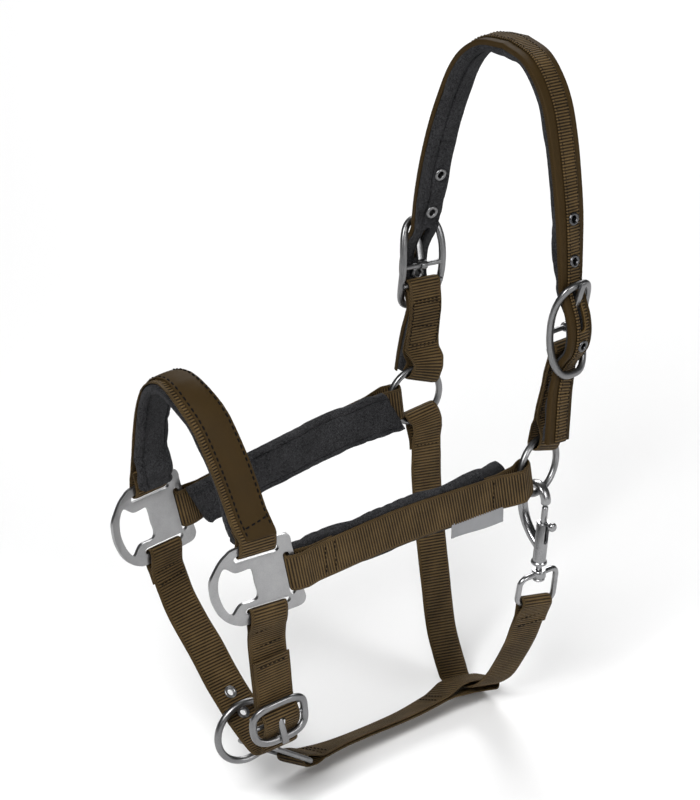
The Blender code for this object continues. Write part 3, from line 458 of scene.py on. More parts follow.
class Graph:
    """Short names for building a material's nodes."""

    def __init__(self, name):
        self.material = bpy.data.materials.new(name)
        self.material.use_nodes = True
        self.tree = self.material.node_tree
        self.shader = self.tree.nodes["Principled BSDF"]

    def node(self, kind, **settings):
        made = self.tree.nodes.new(kind)
        for key, value in settings.items():
            setattr(made, key, value)
        return made

    def link(self, source, target):
        if isinstance(source, (int, float)):
            target.default_value = source
        elif isinstance(source, tuple):
            opaque = len(source) == 3 and target.type == "RGBA"
            target.default_value = (*source, 1.0) if opaque else source
        else:
            self.tree.links.new(source, target)

    def math(self, operation, *values):
        made = self.node("ShaderNodeMath", operation=operation)
        for value, socket in zip(values, made.inputs):
            self.link(value, socket)
        return made.outputs[0]

    def add(self, first, second):
        return self.math("ADD", first, second)

    def times(self, first, second):
        return self.math("MULTIPLY", first, second)

    def wave(self, value, pitch, shift=0.0):
        """0 to 1 ripple of that pitch."""
        turned = self.math("MULTIPLY_ADD", value, 2 * math.pi / pitch, shift)
        return self.math("MULTIPLY_ADD", self.math("SINE", turned), 0.5, 0.5)

    def ramp(self, value, low, high, to_low=0.0, to_high=1.0):
        made = self.node("ShaderNodeMapRange")
        made.clamp = True
        self.link(value, made.inputs[0])
        for k, number in enumerate((low, high, to_low, to_high)):
            self.link(number, made.inputs[k + 1])
        return made.outputs[0]

    def mix(self, factor, first, second):
        made = self.node("ShaderNodeMix", data_type="RGBA")
        self.link(factor, made.inputs[0])
        self.link(first, made.inputs[6])
        self.link(second, made.inputs[7])
        return made.outputs[2]

    def noise(self, scale, detail=3.0, rough=0.55, vector=None):
        made = self.node("ShaderNodeTexNoise")
        made.inputs["Scale"].default_value = scale
        made.inputs["Detail"].default_value = detail
        made.inputs["Roughness"].default_value = rough
        self.link(vector or self.place(), made.inputs["Vector"])
        return made.outputs["Fac"]

    def place(self):
        if not hasattr(self, "coords"):
            self.coords = self.node("ShaderNodeTexCoord").outputs["Object"]
        return self.coords

    def cloth(self):
        """Across and along the cloth, in millimetres."""
        split = self.node("ShaderNodeSeparateXYZ")
        self.link(self.node("ShaderNodeUVMap", uv_map="cloth").outputs["UV"], split.inputs[0])
        return split.outputs[0], split.outputs[1]

    def bump(self, height, distance, strength=1.0):
        made = self.node("ShaderNodeBump")
        made.inputs["Strength"].default_value = strength
        made.inputs["Distance"].default_value = distance * MM
        self.link(height, made.inputs["Height"])
        return made.outputs["Normal"]

    def done(self, colour, rough, normal=None, **constants):
        self.link(colour, self.shader.inputs["Base Color"])
        self.link(rough, self.shader.inputs["Roughness"])
        if normal is not None:
            self.link(normal, self.shader.inputs["Normal"])
        for key, value in constants.items():
            socket = self.shader.inputs[key.replace("_", " ")]
            socket.default_value = (*value, 1.0) if isinstance(value, tuple) else value
        return self.material


def webbing_material(name, light, dark, depth=0.3):
    """Ribbed webbing: fine yarns run along the strap over thick cross ribs, with a braided selvage. The
    colour follows the ribs and the braid, as painted highlight on the crests and painted shade in the
    grooves.
    """
    g = Graph(name)
    u, v = g.cloth()
    rib = g.wave(v, RIB, math.pi / 2)
    cell = g.math("FLOOR", g.math("DIVIDE", v, RIB))
    yarn = g.wave(g.math("MULTIPLY_ADD", cell, 0.29, u), 0.58)
    edge = g.math("ABSOLUTE", u)
    lean = g.add(v, g.times(edge, 0.8))
    braid = g.wave(lean, RIB / 2)
    selvage = g.ramp(edge, WEB / 2 - 1.9, WEB / 2 - 1.5)
    grain = g.noise(2200.0, 2.0)
    blotch = g.noise(60.0, 3.0)
    weave = g.math("MULTIPLY_ADD", yarn, 0.35, g.times(rib, 0.65))
    plain = g.math("SUBTRACT", 1.0, selvage)
    weave = g.math("MULTIPLY_ADD", weave, plain, g.times(braid, selvage))
    shade = g.add(g.times(weave, 0.8), g.times(grain, 0.3))
    shade = g.add(shade, g.ramp(blotch, 0.3, 0.7, -0.1, 0.08))
    # painted light: the ribs and braid in the colour make the crests lighter (painted highlight) and the
    # grooves near black (painted shade), over the yarns and random blotches
    colour = g.mix(g.ramp(shade, 0.3, 1.0), dark, light)
    height = g.add(weave, g.times(grain, 0.25))
    rough = g.ramp(shade, 0.0, 1.0, 0.78, 0.52)
    return g.done(colour, rough, g.bump(height, depth, 0.9), Sheen_Weight=0.04, Sheen_Roughness=0.4,
                  Sheen_Tint=(0.75, 0.55, 0.3), Specular_IOR_Level=0.12)


def cover_material():
    """Smooth, tightly woven covering cloth with a faint diagonal."""
    g = Graph("cover_cloth")
    u, v = g.cloth()
    across = g.wave(g.add(u, v), 0.62)
    other = g.wave(g.math("SUBTRACT", u, g.times(v, 0.35)), 0.5)
    grain = g.noise(2600.0, 2.0)
    blotch = g.noise(45.0, 4.0)
    weave = g.add(g.times(across, 0.55), g.times(other, 0.3))
    shade = g.add(weave, g.ramp(g.add(grain, blotch), 0.6, 1.4, -0.1, 0.3))
    colour = g.mix(g.ramp(shade, 0.0, 1.2), (0.015, 0.0086, 0.0022), (0.050, 0.0290, 0.0078))
    rough = g.ramp(blotch, 0.3, 0.7, 0.6, 0.74)
    height = g.add(weave, g.times(grain, 0.5))
    return g.done(colour, rough, g.bump(height, 0.08, 0.8), Sheen_Weight=0.04, Sheen_Roughness=0.45,
                  Sheen_Tint=(0.7, 0.5, 0.28), Specular_IOR_Level=0.1)


def fleece_material():
    """Short brushed pile: matt and speckled."""
    g = Graph("fleece_pile")
    fine = g.noise(1900.0, 2.0, 0.6)
    tuft = g.noise(700.0, 2.0, 0.5)
    patch = g.noise(60.0, 2.0)
    pile = g.math("MULTIPLY_ADD", fine, 0.75, g.times(tuft, 0.25))
    shade = g.add(pile, g.ramp(patch, 0.3, 0.7, -0.03, 0.03))
    colour = g.mix(g.ramp(shade, 0.38, 0.66), (0.0012, 0.0012, 0.0014), (0.046, 0.046, 0.049))
    return g.done(colour, 0.95, g.bump(pile, 0.6, 1.0), Sheen_Weight=0.08, Sheen_Roughness=0.5,
                  Sheen_Tint=(0.5, 0.5, 0.52), Specular_IOR_Level=0.08)


def thread_material(name, dark, light):
    g = Graph(name)
    twist = g.noise(3200.0, 2.0)
    colour = g.mix(g.ramp(twist, 0.35, 0.7), dark, light)
    return g.done(colour, 0.8, g.bump(twist, 0.06, 0.8), Specular_IOR_Level=0.08)


def metal_material(name, dark, light, rough, scratch):
    """Plated metal: uneven polish with fine wear."""
    g = Graph(name)
    cloud = g.noise(55.0, 5.0, 0.6)
    fine = g.noise(1900.0, 3.0, 0.6)
    stretch = g.node("ShaderNodeMapping")
    stretch.inputs["Scale"].default_value = (900.0, 2600.0, 120.0)
    g.link(g.place(), stretch.inputs["Vector"])
    hair = g.noise(1.0, 3.0, 0.6, stretch.outputs[0])
    worn = g.add(g.times(cloud, 0.6), g.times(fine, 0.4))
    colour = g.mix(g.ramp(worn, 0.35, 0.65), dark, light)
    polish = g.ramp(worn, 0.35, 0.65, rough - 0.05, rough + 0.07)
    polish = g.add(polish, g.ramp(hair, 0.4, 0.7, 0, 0.05))
    height = g.add(g.times(hair, 0.7), fine)
    return g.done(colour, polish, g.bump(height, scratch, 0.5), Metallic=1.0)


def label_material():
    g = Graph("label_satin")
    u, v = g.cloth()
    weave = g.add(g.wave(u, 0.35), g.wave(v, 0.5))
    blotch = g.noise(120.0, 3.0)
    shade = g.add(g.times(weave, 0.3), g.times(blotch, 0.5))
    colour = g.mix(g.ramp(shade, 0.15, 0.9), (0.13, 0.133, 0.14), (0.25, 0.253, 0.262))
    return g.done(colour, g.ramp(blotch, 0.3, 0.7, 0.34, 0.46), g.bump(weave, 0.05, 0.7),
                  Sheen_Weight=0.2, Sheen_Roughness=0.3)


# the first colour is the painted highlight of the rib crests, the second the painted shade of the grooves
WEBBING = webbing_material("webbing_ribbed", (0.145, 0.092, 0.036), (0.0035, 0.0019, 0.0006))
COVER = cover_material()
FLEECE = fleece_material()
THREAD = thread_material("thread_dark", (0.002, 0.0016, 0.0012), (0.010, 0.007, 0.004))
THREAD_BLACK = thread_material("thread_black", (0.001, 0.001, 0.0012), (0.006, 0.006, 0.007))
NICKEL = metal_material("nickel", (0.15, 0.15, 0.153), (0.25, 0.25, 0.253), 0.33, 0.012)
BRIGHT = metal_material("nickel_bright", (0.22, 0.22, 0.225), (0.34, 0.34, 0.345), 0.26, 0.010)
SATIN = metal_material("plate_satin", (0.27, 0.27, 0.274), (0.37, 0.37, 0.374), 0.36, 0.03)
GUNMETAL = metal_material("eyelet_dark", (0.07, 0.07, 0.074), (0.14, 0.14, 0.146), 0.28, 0.010)
LABEL = label_material()


def wear(obj, material, body, slot, *nodes):
    """Gives a piece its material, unless it has one already, and its body, and hides the CAD nodes it
    stands for. slot is not used.
    """
    if material and not any(obj.data.materials):
        obj.data.materials.clear()
        obj.data.materials.append(material)
    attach(obj, body)
    if nodes:
        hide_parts(*nodes)
    return obj


# ---------------------------------------------------------------- woven straps and stitches

ACROSS = np.array([-1, -0.985, -0.955, -0.9, -0.82, -0.6, -0.3, 0, 0.3, 0.6, 0.82, 0.9, 0.955, 0.985, 1])


def webbing(name, path, widths, closed=False, side=1, width=WEB):
    """Strap with its cross ribs in the mesh. The ribs are cut in from the strap's true faces."""
    path, widths, run = resampled(np.asarray(path), np.asarray(widths), RIB / 4, closed)
    total = run[1] * len(run)
    pitch = total / round(total / RIB) if closed else RIB
    n = frame_along(path, widths, closed)[2]
    size = abs(ACROSS)
    body = WEB_T / 2 * (1 - 0.62 * size ** 14)
    fade = 1 - size ** 12
    rib = RIB_DEPTH * (0.5 - 0.5 * np.cos(2 * math.pi * run / pitch))[:, None] * fade
    wobble = 1 + 0.004 * np.sin(run / 9.1) + 0.003 * np.sin(run / 3.7 + 1)
    lift = body[None, :] - rib
    top = np.stack([np.broadcast_to(ACROSS[::-1], lift.shape), lift[:, ::-1]], axis=-1)
    low = np.stack([np.broadcast_to(ACROSS, lift.shape), -lift], axis=-1)
    outline = np.concatenate([top, low], axis=1)
    along = np.broadcast_to((run * (RIB / pitch))[:, None], outline.shape[:2])
    uvs = np.stack([outline[..., 0] * width / 2, along], axis=-1)
    outline[..., 0] *= width / 2 * wobble[:, None]
    obj = skin(name, rings_on(path, widths, n, outline), closed, side, uvs.reshape(-1, 2), 75.0)
    obj.data.materials.append(WEBBING)
    return obj


def strap_on(name, route, step, ends, closed=False, centred=False, side=1):
    """Webbing on a route, with the route's own samples and its length for the stitches."""
    path, widths = looped_strap(route, step, ends, centred)
    base = smooth_through(route, step)
    return webbing(name, path, widths, closed, side), base, run_of(base)[-1]


# Distances, heights and thicknesses of the seven rings of a stitch, as parts of its length, in
# millimetres and as parts of its radius.
STITCH_AT = np.array([0, 0.12, 0.32, 0.5, 0.68, 0.88, 1])
STITCH_RISE = (-0.35, 0.0, 0.16, 0.2, 0.16, 0.0, -0.35)
STITCH_THICK = (0.45, 0.9, 1, 1, 1, 0.9, 0.45)
STITCH_SIDES = 6


def one_stitch(points, normals, radius, vertices, faces):
    """Adds one stitch to the lists. points and normals have a row for each of its rings."""
    first, sides = len(vertices), STITCH_SIDES
    along = unit(points[-1] - points[0])
    for p, normal, rise, thick in zip(points, normals, STITCH_RISE, STITCH_THICK):
        up = unit(normal)
        wide = np.cross(along, up)
        for j in range(sides):
            angle = 2 * math.pi * j / sides
            offset = wide * math.cos(angle) + up * math.sin(angle)
            vertices.append(p + up * rise + radius * thick * offset)
    for ring in range(first, first + (len(points) - 1) * sides, sides):
        for j in range(sides):
            m = (j + 1) % sides
            faces.append([ring + j, ring + m, ring + sides + m, ring + sides + j])
    faces.append([first + j for j in range(sides - 1, -1, -1)])
    faces.append([len(vertices) - sides + j for j in range(sides)])


def stitches(name, rows, material=None, side=1, size=STITCH):
    """Rows of small bent stitches. A row is (points, normals)."""
    length, gap, radius = size
    vertices, faces = [], []
    for points, normals in rows:
        points, normals = np.asarray(points, float), np.asarray(normals, float)
        run = run_of(points)
        count = max(1, int((run[-1] + gap) / (length + gap)))
        spare = (run[-1] + gap - count * (length + gap)) / 2
        for k in range(count):
            at = spare + k * (length + gap) + STITCH_AT * length
            one_stitch(sampled(points, run, at), sampled(normals, run, at), radius, vertices, faces)
    obj = new_object(name, vertices, faces, side, smooth=80.0)
    obj.data.materials.append(material or THREAD)
    return obj


def sewn(strap, rows, node, material=None, side=1, size=STRAP_STITCH):
    """Joins a strap with its stitches, gives it its body and hides its CAD node."""
    name = strap.name
    thread = stitches(f"{name}_thread", rows, material, side, size)
    return wear(joined(name, [strap, thread]), None, "straps", "webbing", node)


def line_on(base, start, end, across, off):
    """Points and normals along a route between two distances, at an across offset and height."""
    points, normals = [], []
    for d in np.linspace(start, end, max(2, int(abs(end - start) / 1.2))):
        p, _, w, n = station(base, d)
        points.append(p + across * w + off * n)
        normals.append(n * (1 if off >= 0 else -1))
    return points, normals


def cross_on(base, distance, half, off):
    """A row of stitches across a route."""
    p, _, w, n = station(base, distance)
    sign = 1 if off >= 0 else -1
    at = np.linspace(-half, half, 9)
    return [p + a * w + off * n for a in at], [n * sign] * 9


# ---------------------------------------------------------------- pads


CLOTH = {
    "use_pressure": True, "uniform_pressure_force": 3.0, "quality": 5, "mass": 0.25,
    "tension_stiffness": 18, "compression_stiffness": 18, "shear_stiffness": 8,
    "bending_stiffness": 1.2, "shrink_min": -0.04, "vertex_group_mass": "sewn",
}
CLOTH_FRAMES = 14
CLOTH_REACH = 0.9  # no point of a pad moves further than this


def inflate(obj, pinned):
    """Lets a swept pad fill out as cloth."""
    scene = bpy.context.scene
    rest = np.zeros(len(obj.data.vertices) * 3)
    obj.data.vertices.foreach_get("co", rest)
    group = obj.vertex_groups.new(name="sewn")
    group.add([int(k) for k in pinned], 1.0, "REPLACE")
    cloth = modify(obj, "CLOTH")
    for key, value in CLOTH.items():
        setattr(cloth.settings, key, value)
    cloth.settings.effector_weights.gravity = 0
    cloth.collision_settings.use_collision = False
    cloth.point_cache.frame_start, cloth.point_cache.frame_end = 1, CLOTH_FRAMES
    for number in range(1, CLOTH_FRAMES + 1):
        scene.frame_set(number)
    swollen = obj.evaluated_get(bpy.context.evaluated_depsgraph_get())
    moved = np.zeros_like(rest)
    swollen.to_mesh().vertices.foreach_get("co", moved)
    swollen.to_mesh_clear()
    obj.modifiers.clear()
    obj.vertex_groups.clear()
    scene.frame_set(1)
    shift = (moved - rest).reshape(-1, 3)
    size = np.linalg.norm(shift, axis=1)
    limit = np.minimum(1.0, CLOTH_REACH * MM / np.maximum(size, 1e-9))
    obj.data.vertices.foreach_set("co", (rest.reshape(-1, 3) + shift * limit[:, None]).ravel())
    obj.data.update()


def pad_sections(half, low, high, count, grooves=(), crown=0.5):
    """Closed outline of a pad, low side first: (across, off). grooves are (across, depth, width)."""
    corner = min(2.6, (high - low) * 0.42)
    near = [c + step for c, _, w in grooves for step in (-2.2 * w, -w, 0, w, 2.2 * w)]
    flat = np.sort(np.concatenate([np.linspace(-half + corner, half - corner, count), near]))
    under = []
    for a in flat:
        dip = sum(d * math.exp(-((a - c) / w) ** 2) for c, d, w in grooves)
        belly = crown * (1 - (a / half) ** 2)
        under.append((a, low - belly + dip + crown * 0.4))
    flank = []
    for k in range(1, 5):
        angle = math.radians(90 - 18 * k)
        flank.append((half - corner * (1 - math.cos(angle)), low + corner * (1 - math.sin(angle))))
    flank += [(half + 0.15, 0.5 * (low + corner + high)), (half - 0.5, high - 0.15), (half - 1.6, high)]
    top = [(a, high) for a in np.linspace(half - 4, 4 - half, max(3, count // 3))]
    return np.array(under + flank + top + [(-a, off) for a, off in flank[::-1]])


def swept_pad(name, centre, widths, sections, side=1):
    """Pad swept along a route with its ends rounded off, then filled out and softened."""
    outlines = rounded_ends(centre, np.array(sections))
    rings = rings_on(centre, widths, frame_along(centre, widths)[2], outlines)
    obj = skin(name, rings, False, side, smooth=70.0)
    around = outlines.shape[1]
    high = outlines[..., 1].max(1, keepdims=True)
    on_top = (outlines[..., 1] > high - 0.3).ravel()
    ends = np.zeros(len(on_top), bool)
    ends[:around] = ends[-around:] = True
    inflate(obj, np.where(on_top | ends)[0])
    modify(obj, "SUBSURF", levels=1, render_levels=1)
    applied(obj)
    finish_shading(obj, 70.0)
    obj.data.materials.append(FLEECE)
    return obj


def fleeced(pad, node):
    wear(pad, None, "straps", "fleece", node)


def rounded_ends(centre, outlines, reach=2.0):
    """Shrinks the first and last few sections, so that the pad's ends are soft."""
    part = np.clip(from_ends(centre) / reach, 0, 1)
    k = 0.72 + 0.28 * np.sqrt(part * (2 - part))
    mid = (outlines.max(1, keepdims=True) + outlines.min(1, keepdims=True)) / 2
    return mid + (outlines - mid) * k[:, None, None]


def swept_cover(name, centre, widths, outlines, smooth):
    """Covering cloth swept along a route."""
    rings = rings_on(centre, widths, frame_along(centre, widths)[2], outlines)
    run = np.broadcast_to(run_of(centre)[:, None], outlines.shape[:2])
    uvs = np.stack([outlines[..., 0], run], axis=-1).reshape(-1, 2)
    cloth = skin(name, rings, False, 1, uvs, smooth)
    cloth.data.materials.append(COVER)
    return cloth


# ---------------------------------------------------------------- crown

CROWN_TOP = [
    (0, 0, 5.2, 0, 7.4, 21.5), (19, -1.2, 2.2, 0, 7.6, 21.5), (32.5, -2.8, -6.8, 0, 8.0, 21.5),
    (42.5, -4, -20.5, 0, 8.4, 21.5), (50, -5.7, -39.5, 0, 8.6, 21.5), (56.2, -7.6, -61, 2, 8.6, 21.5),
    (61.2, -9.2, -85, 5, 8.4, 21.5), (64.2, -10.8, -108, 9, 7.6, 21),
]
CROWN_BUCKLED = [
    (66.4, -12.3, 31, 8, 5.0, 19), (67.2, -12.6, 25, 7, 5.0, 18.6), (71.6, -12.7, 16, 7, 5.2, 18.6),
    (75.5, -12.9, 7, 7, 5.6, 18.8), (76.9, -13.2, -3, 7, 5.8, 18.8), (75.4, -13.9, -12.5, 7, 5.4, 18.6),
    (70.3, -14.8, -20, 7, 3.9, 18.2), (67.1, -15.5, -26, 8, 3.2, 18.2), (67.0, -16.7, -32, 9, 3.4, 19),
    (68.2, -19.9, -43, 11, 4.4, 21), (70.3, -22.8, -58, 12, 5.2, 21.5), (71.8, -25.0, -71, 12, 5.8, 21.5),
]
BUCKLE = (66.0, -14.2, -155.0)
NEAR_LIFT, FAR_LIFT = 2.5, -2.5
NEAR_EYELETS = (-85.5, -111.0)
FAR_EYELETS = (-93.5, -120.0)
EYELET_BELOW = -8.0
BACKING_T = 1.2
STRIP_W = 10.5
STRIP_OFF = 0.5  # the strip sits a little behind the middle
SIDES = ((1, NEAR_LIFT, "near", NEAR_EYELETS), (-1, FAR_LIFT, "far", FAR_EYELETS))
BAR_R = 1.6
TONGUE_W = 4.0
HOLE_R = 2.6  # holes punched for the eyelets
STRIP_LOW = LAYER / 2 + BACKING_T + LAYER  # underside of the strip


def crown_half(lift, step=1.5):
    slant = 1.0 if lift > 0 else 0.35
    rows = CROWN_TOP + [(row[0], row[1] if row[1] > -16 else -16 + slant * (row[1] + 16),
                         BUCKLE[2] + lift + row[2], *row[3:]) for row in CROWN_BUCKLED]
    points = []
    for x, y, z, turn, pad, width in rows:
        turn = math.radians(turn)
        points.append((x, y, z, -math.sin(turn), math.cos(turn), 0, pad, width))
    return smooth_through(points, step)


def crown_route(step):
    far = crown_half(FAR_LIFT, step)[:0:-1] * np.array([-1, 1, 1, -1, 1, 1, 1, 1])
    return np.vstack([far, crown_half(NEAR_LIFT, step)])


def place_on(half, height):
    """Point of the crown at a height, with its outward direction and the depth of its padding."""
    n = frame_along(half[:, :3], half[:, 3:6])[2]
    table = np.hstack([half[:, :3], n, half[:, 6:7]])[::-1]
    pick = sampled(table, half[::-1, 2], height)
    return pick[:3], unit(pick[3:6]), pick[6]


def eyelet_places(lift, heights):
    half = crown_half(lift)
    return [place_on(half, height) for height in (*heights, BUCKLE[2] + lift + EYELET_BELOW)]


def crown_cuts(lift, side, heights, tag):
    """Cutters for the eyelets and the prong's slot in one half."""
    cuts = []
    for k, (p, n, depth) in enumerate(eyelet_places(lift, heights)):
        cuts.append(rod(f"cut_{tag}_{k}", p - n * (depth + 4), p + n * 8, HOLE_R, side, 24))
    buckle = crown_buckle(lift)
    low, high = oval(buckle.at(0, 13.0, 5.5), buckle.n, buckle.b, 12.5, TONGUE_W / 2 + 0.6, -12, 12, 24)
    cuts.append(prism(f"cut_{tag}_slot", low, high, side))
    return cuts


def eyelet(name, centre, axis, low, high, side, material, radius=4.0, bore=2.0, rim=0.75):
    """Rolled metal eyelet: a flange with a rounded lip at each face and a barrel between."""
    arc = []
    for k in range(1, 8):
        turn = math.pi * k / 8
        arc.append((bore + (radius - bore) * (1 - math.cos(turn)) / 2, rim * math.sin(turn)))
    profile = [(bore, low), *((r, low - h) for r, h in arc), (radius, low),
               (bore + 0.45, low + 0.05), (bore + 0.45, high - 0.05),
               (radius, high), *((r, high + h) for r, h in arc[::-1]), (bore, high)]
    return wear(lathe(name, profile, centre, axis, side, 36), material, "straps", "steel")


def build_crown():
    route = crown_route(1.5)
    centre, across, half = route[:, :3], route[:, 3:6], route[:, 7] / 2
    pads = []
    for h, p in zip(half, route[:, 6]):
        pads.append(pad_sections(h - 0.8, -p + 0.7, -LAYER / 2, 13, ((-h * 0.32, 1.5, 0.7),), 0.5))
    widths = frame_along(centre, across)[1]
    pad = swept_pad("crown_fleece", centre, widths, pads)
    face = LAYER / 2 + BACKING_T
    front, rear = STRIP_OFF + STRIP_W / 2, STRIP_OFF - STRIP_W / 2
    hem = [(1.1, face + 0.22), (0.5, face + 0.15), (0.1, LAYER / 2 + 0.9), (-0.05, LAYER / 2 - 0.5),
           (0.15, LAYER - 2.0), (0.75, LAYER - 2.2), (0.9, LAYER / 2)]
    cover = []
    for h in half:
        front_hem, rear_hem = [(h - a, off) for a, off in hem], [(a - h, off) for a, off in hem]
        middle = [(h - 2.0, face), (front + 1.2, face + 0.2), (front, face - 0.1), (0, face - 0.1),
                  (rear, face - 0.1), (rear - 1.4, face + 0.28), (2.2 - h, face + 0.1)]
        cover.append(front_hem[2::-1] + middle + rear_hem + front_hem[:2:-1])
    cloth = swept_cover("crown_cover", centre, widths, np.array(cover, float), 50.0)
    fine = crown_route(RIB / 4)
    _, w, n = frame_along(fine[:, :3], fine[:, 3:6])
    shifted = fine[:, :3] + w * STRIP_OFF + n * (STRIP_LOW + WEB_T / 2 - 0.25)
    strip = webbing("crown_strip", shifted, w, width=STRIP_W)
    length = run_of(route)[-1]
    top = STRIP_LOW + WEB_T - 0.3
    edges = [STRIP_OFF + edge * (STRIP_W / 2 - 1.1) for edge in (-1, 1)]
    rows = [line_on(route, 3, length - 3, across, top) for across in edges]
    for end in (0, length):
        for inset in (3.2, 30.0):
            rows.append(cross_on(route, abs(end - inset), STRIP_W / 2 - 1.6, top))
    for side, lift, word, heights in SIDES:
        cuts = crown_cuts(lift, side, heights, word)
        for piece in (pad, cloth, strip):
            boolean(piece, cuts, keep=piece is not strip)
        metal = NICKEL if word == "far" else GUNMETAL
        for k, (p, n, depth) in enumerate(eyelet_places(lift, heights), 1):
            made = eyelet(f"eyelet_{word}_{k}", p, n, -depth - 0.35, STRIP_LOW + WEB_T + 0.05, side, metal)
            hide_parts(f"crown_eyelet_{word}_{k}")
    for piece in (pad, cloth, strip):
        finish_shading(piece, 60.0)
    fleeced(pad, "crown_padding")
    wear(cloth, None, "straps", "cover", "crown_backing")
    sewn(strip, rows, "crown_webbing", size=CROWN_STITCH)


# ---------------------------------------------------------------- buckles, rings, plates


class Buckle:
    """Oval frame bowed outward at its ends, in its own axes a (across), b (along) and n (out)."""

    rim_w, rim_t = 2.3, 1.8  # half the rim's width and thickness

    def __init__(self, centre, across, up, half_a, half_b, bow, tongue_bar, tab_bar, bar_r):
        self.centre = np.asarray(centre, float)
        self.b = unit(up)
        self.a = unit(np.asarray(across) - np.dot(across, self.b) * self.b)
        self.n = np.cross(self.b, self.a)
        if self.n[0] < 0:
            self.n = -self.n
        self.half_a, self.half_b, self.bow = half_a, half_b, bow
        self.tongue_bar, self.tab_bar, self.bar_r = tongue_bar, tab_bar, bar_r

    def at(self, a, b, n=0.0):
        return self.centre + a * self.a + b * self.b + n * self.n

    def rise(self, b):
        return self.bow * (b / self.half_b) ** 2

    def frame(self, name, node, side=1, power=3.1, steps=160):
        angles = np.arange(steps) * 2 * math.pi / steps
        c, s = np.cos(angles), np.sin(angles)
        a = self.half_a * np.sign(c) * abs(c) ** (2 / power)
        b = self.half_b * np.sign(s) * abs(s) ** (2 / power)
        path = closed_curve([self.at(x, y, self.rise(y)) for x, y in zip(a, b)], 0.8)
        loop = sweep(name, path, self.n, oval_outline(self.rim_t, self.rim_w, 20, 2.5), True, side)
        for k, (b, n) in enumerate((self.tongue_bar, self.tab_bar)):
            reach = self.half_a * 0.98
            bar = rod(f"{name}_bar{k}", self.at(-reach, b, n), self.at(reach, b, n), self.bar_r, side)
            boolean(loop, [bar], "UNION")
        finish_shading(loop, 50.0)
        return wear(loop, NICKEL, "straps", "steel", node)

    def tongue(self, name, node, body, side=1, towards=1):
        bore = self.bar_r + 0.3
        outer = bore + 1.0
        half = 0.9
        bar = np.array(self.tongue_bar, float)
        reach = self.half_b + 0.8
        tip = np.array([towards * reach, self.rise(reach) + self.rim_t + 0.35 + half])
        aim = unit(tip - bar - [0.0, outer - half])
        up = np.array([-aim[1], aim[0]]) * towards
        root = bar + up * (outer - half)
        outline = [tip + up * half * 0.4 + aim * 1.2, tip + up * half * 0.9 + aim * 0.5,
                   tip + up * half, root + up * half]
        start = math.atan2(up[1], up[0])
        for k in range(1, 28):
            angle = start + towards * math.radians(10 * k)
            outline.append(bar + outer * np.array([math.cos(angle), math.sin(angle)]))
        outline += [root - up * half + aim * (outer + 0.4), tip - up * half,
                    tip - up * half * 0.9 + aim * 0.5, tip - up * half * 0.4 + aim * 1.2]
        w = TONGUE_W / 2
        rings = [[self.at(a, b, n) for b, n in outline] for a in (-w, w)]
        prong = skin(name, rings, side=side)
        boolean(prong, [rod(f"{name}_bore", self.at(-w - 2, *bar), self.at(w + 2, *bar), bore, side)])
        bevel(prong, 0.32, 3)
        finish_shading(prong, 40.0)
        return wear(prong, NICKEL, body, "steel", node)


def crown_buckle(lift):
    turn = math.radians(6)
    centre = (BUCKLE[0], BUCKLE[1], BUCKLE[2] + lift)
    return Buckle(centre, (-math.sin(turn), math.cos(turn), 0), (0.0, 0.06, 1.0), 14.6, 28.7, 7.0,
                  (0.0, 0.0), (-12.0, -0.6), BAR_R)


class Ring:
    """Round wire ring. Angles are from the rearward direction towards the top, in degrees."""

    def __init__(self, centre, rearward, radius, wire):
        self.centre = np.asarray(centre, float)
        self.rear = unit(rearward)
        self.top = unit(np.array([0, 0, 1.0]) - self.rear[2] * self.rear)
        self.normal = np.cross(self.rear, self.top)
        self.radius, self.wire = radius, wire

    def outward(self, angle):
        angle = math.radians(angle)
        return math.cos(angle) * self.rear + math.sin(angle) * self.top

    def across(self, angle):
        return -self.outward(angle + 90)

    def at(self, distance, angle):
        return self.centre + distance * self.outward(angle)

    def build(self, name, node, body, side=1):
        path = [self.at(self.radius, 360.0 * k / 120) for k in range(120)]
        made = sweep(name, path, self.normal, oval_outline(self.wire, self.wire, 24), True, side)
        return wear(made, NICKEL, body, "steel", node)


RING_R = 17.9
RING_FOLD = RING_R - 3.5
RING_LOOP = (4.2, 7.8, 13.0, 4.3)
PINCH = 0.88
TAB_SWING = 20.0
TAB_RISE = [(60.0, -20.5, -42), (60.8, -17.6, -26), (61.2, -15.8, -15), (63.4, -14.7, -7)]
NEAR = Ring((59.0, -28.0, -243.5), (-0.2, 0.98, 0), RING_R, 2.1)
FAR = Ring((59.0, -26.0, -240.5), (-0.15, 0.99, 0), RING_R, 2.1)
LEAD = Ring((16.5, -220.9, -376), (0.12, 0.98, 0.13), 19.5, 2.2)


def zigzag_on(base, start, end, a_mid, half, off, pitch=2.4):
    """Zigzag row of stitches along a route."""
    points, normals = [], []
    count = max(2, int(abs(end - start) / pitch))
    for k, d in enumerate(np.linspace(start, end, count + 1)):
        p, _, w, n = station(base, d)
        points.append(p + (a_mid + (half if k % 2 else -half)) * w + off * n)
        normals.append(n * (1 if off >= 0 else -1))
    return [((points[k], points[k + 1]), (normals[k], normals[k + 1])) for k in range(count)]


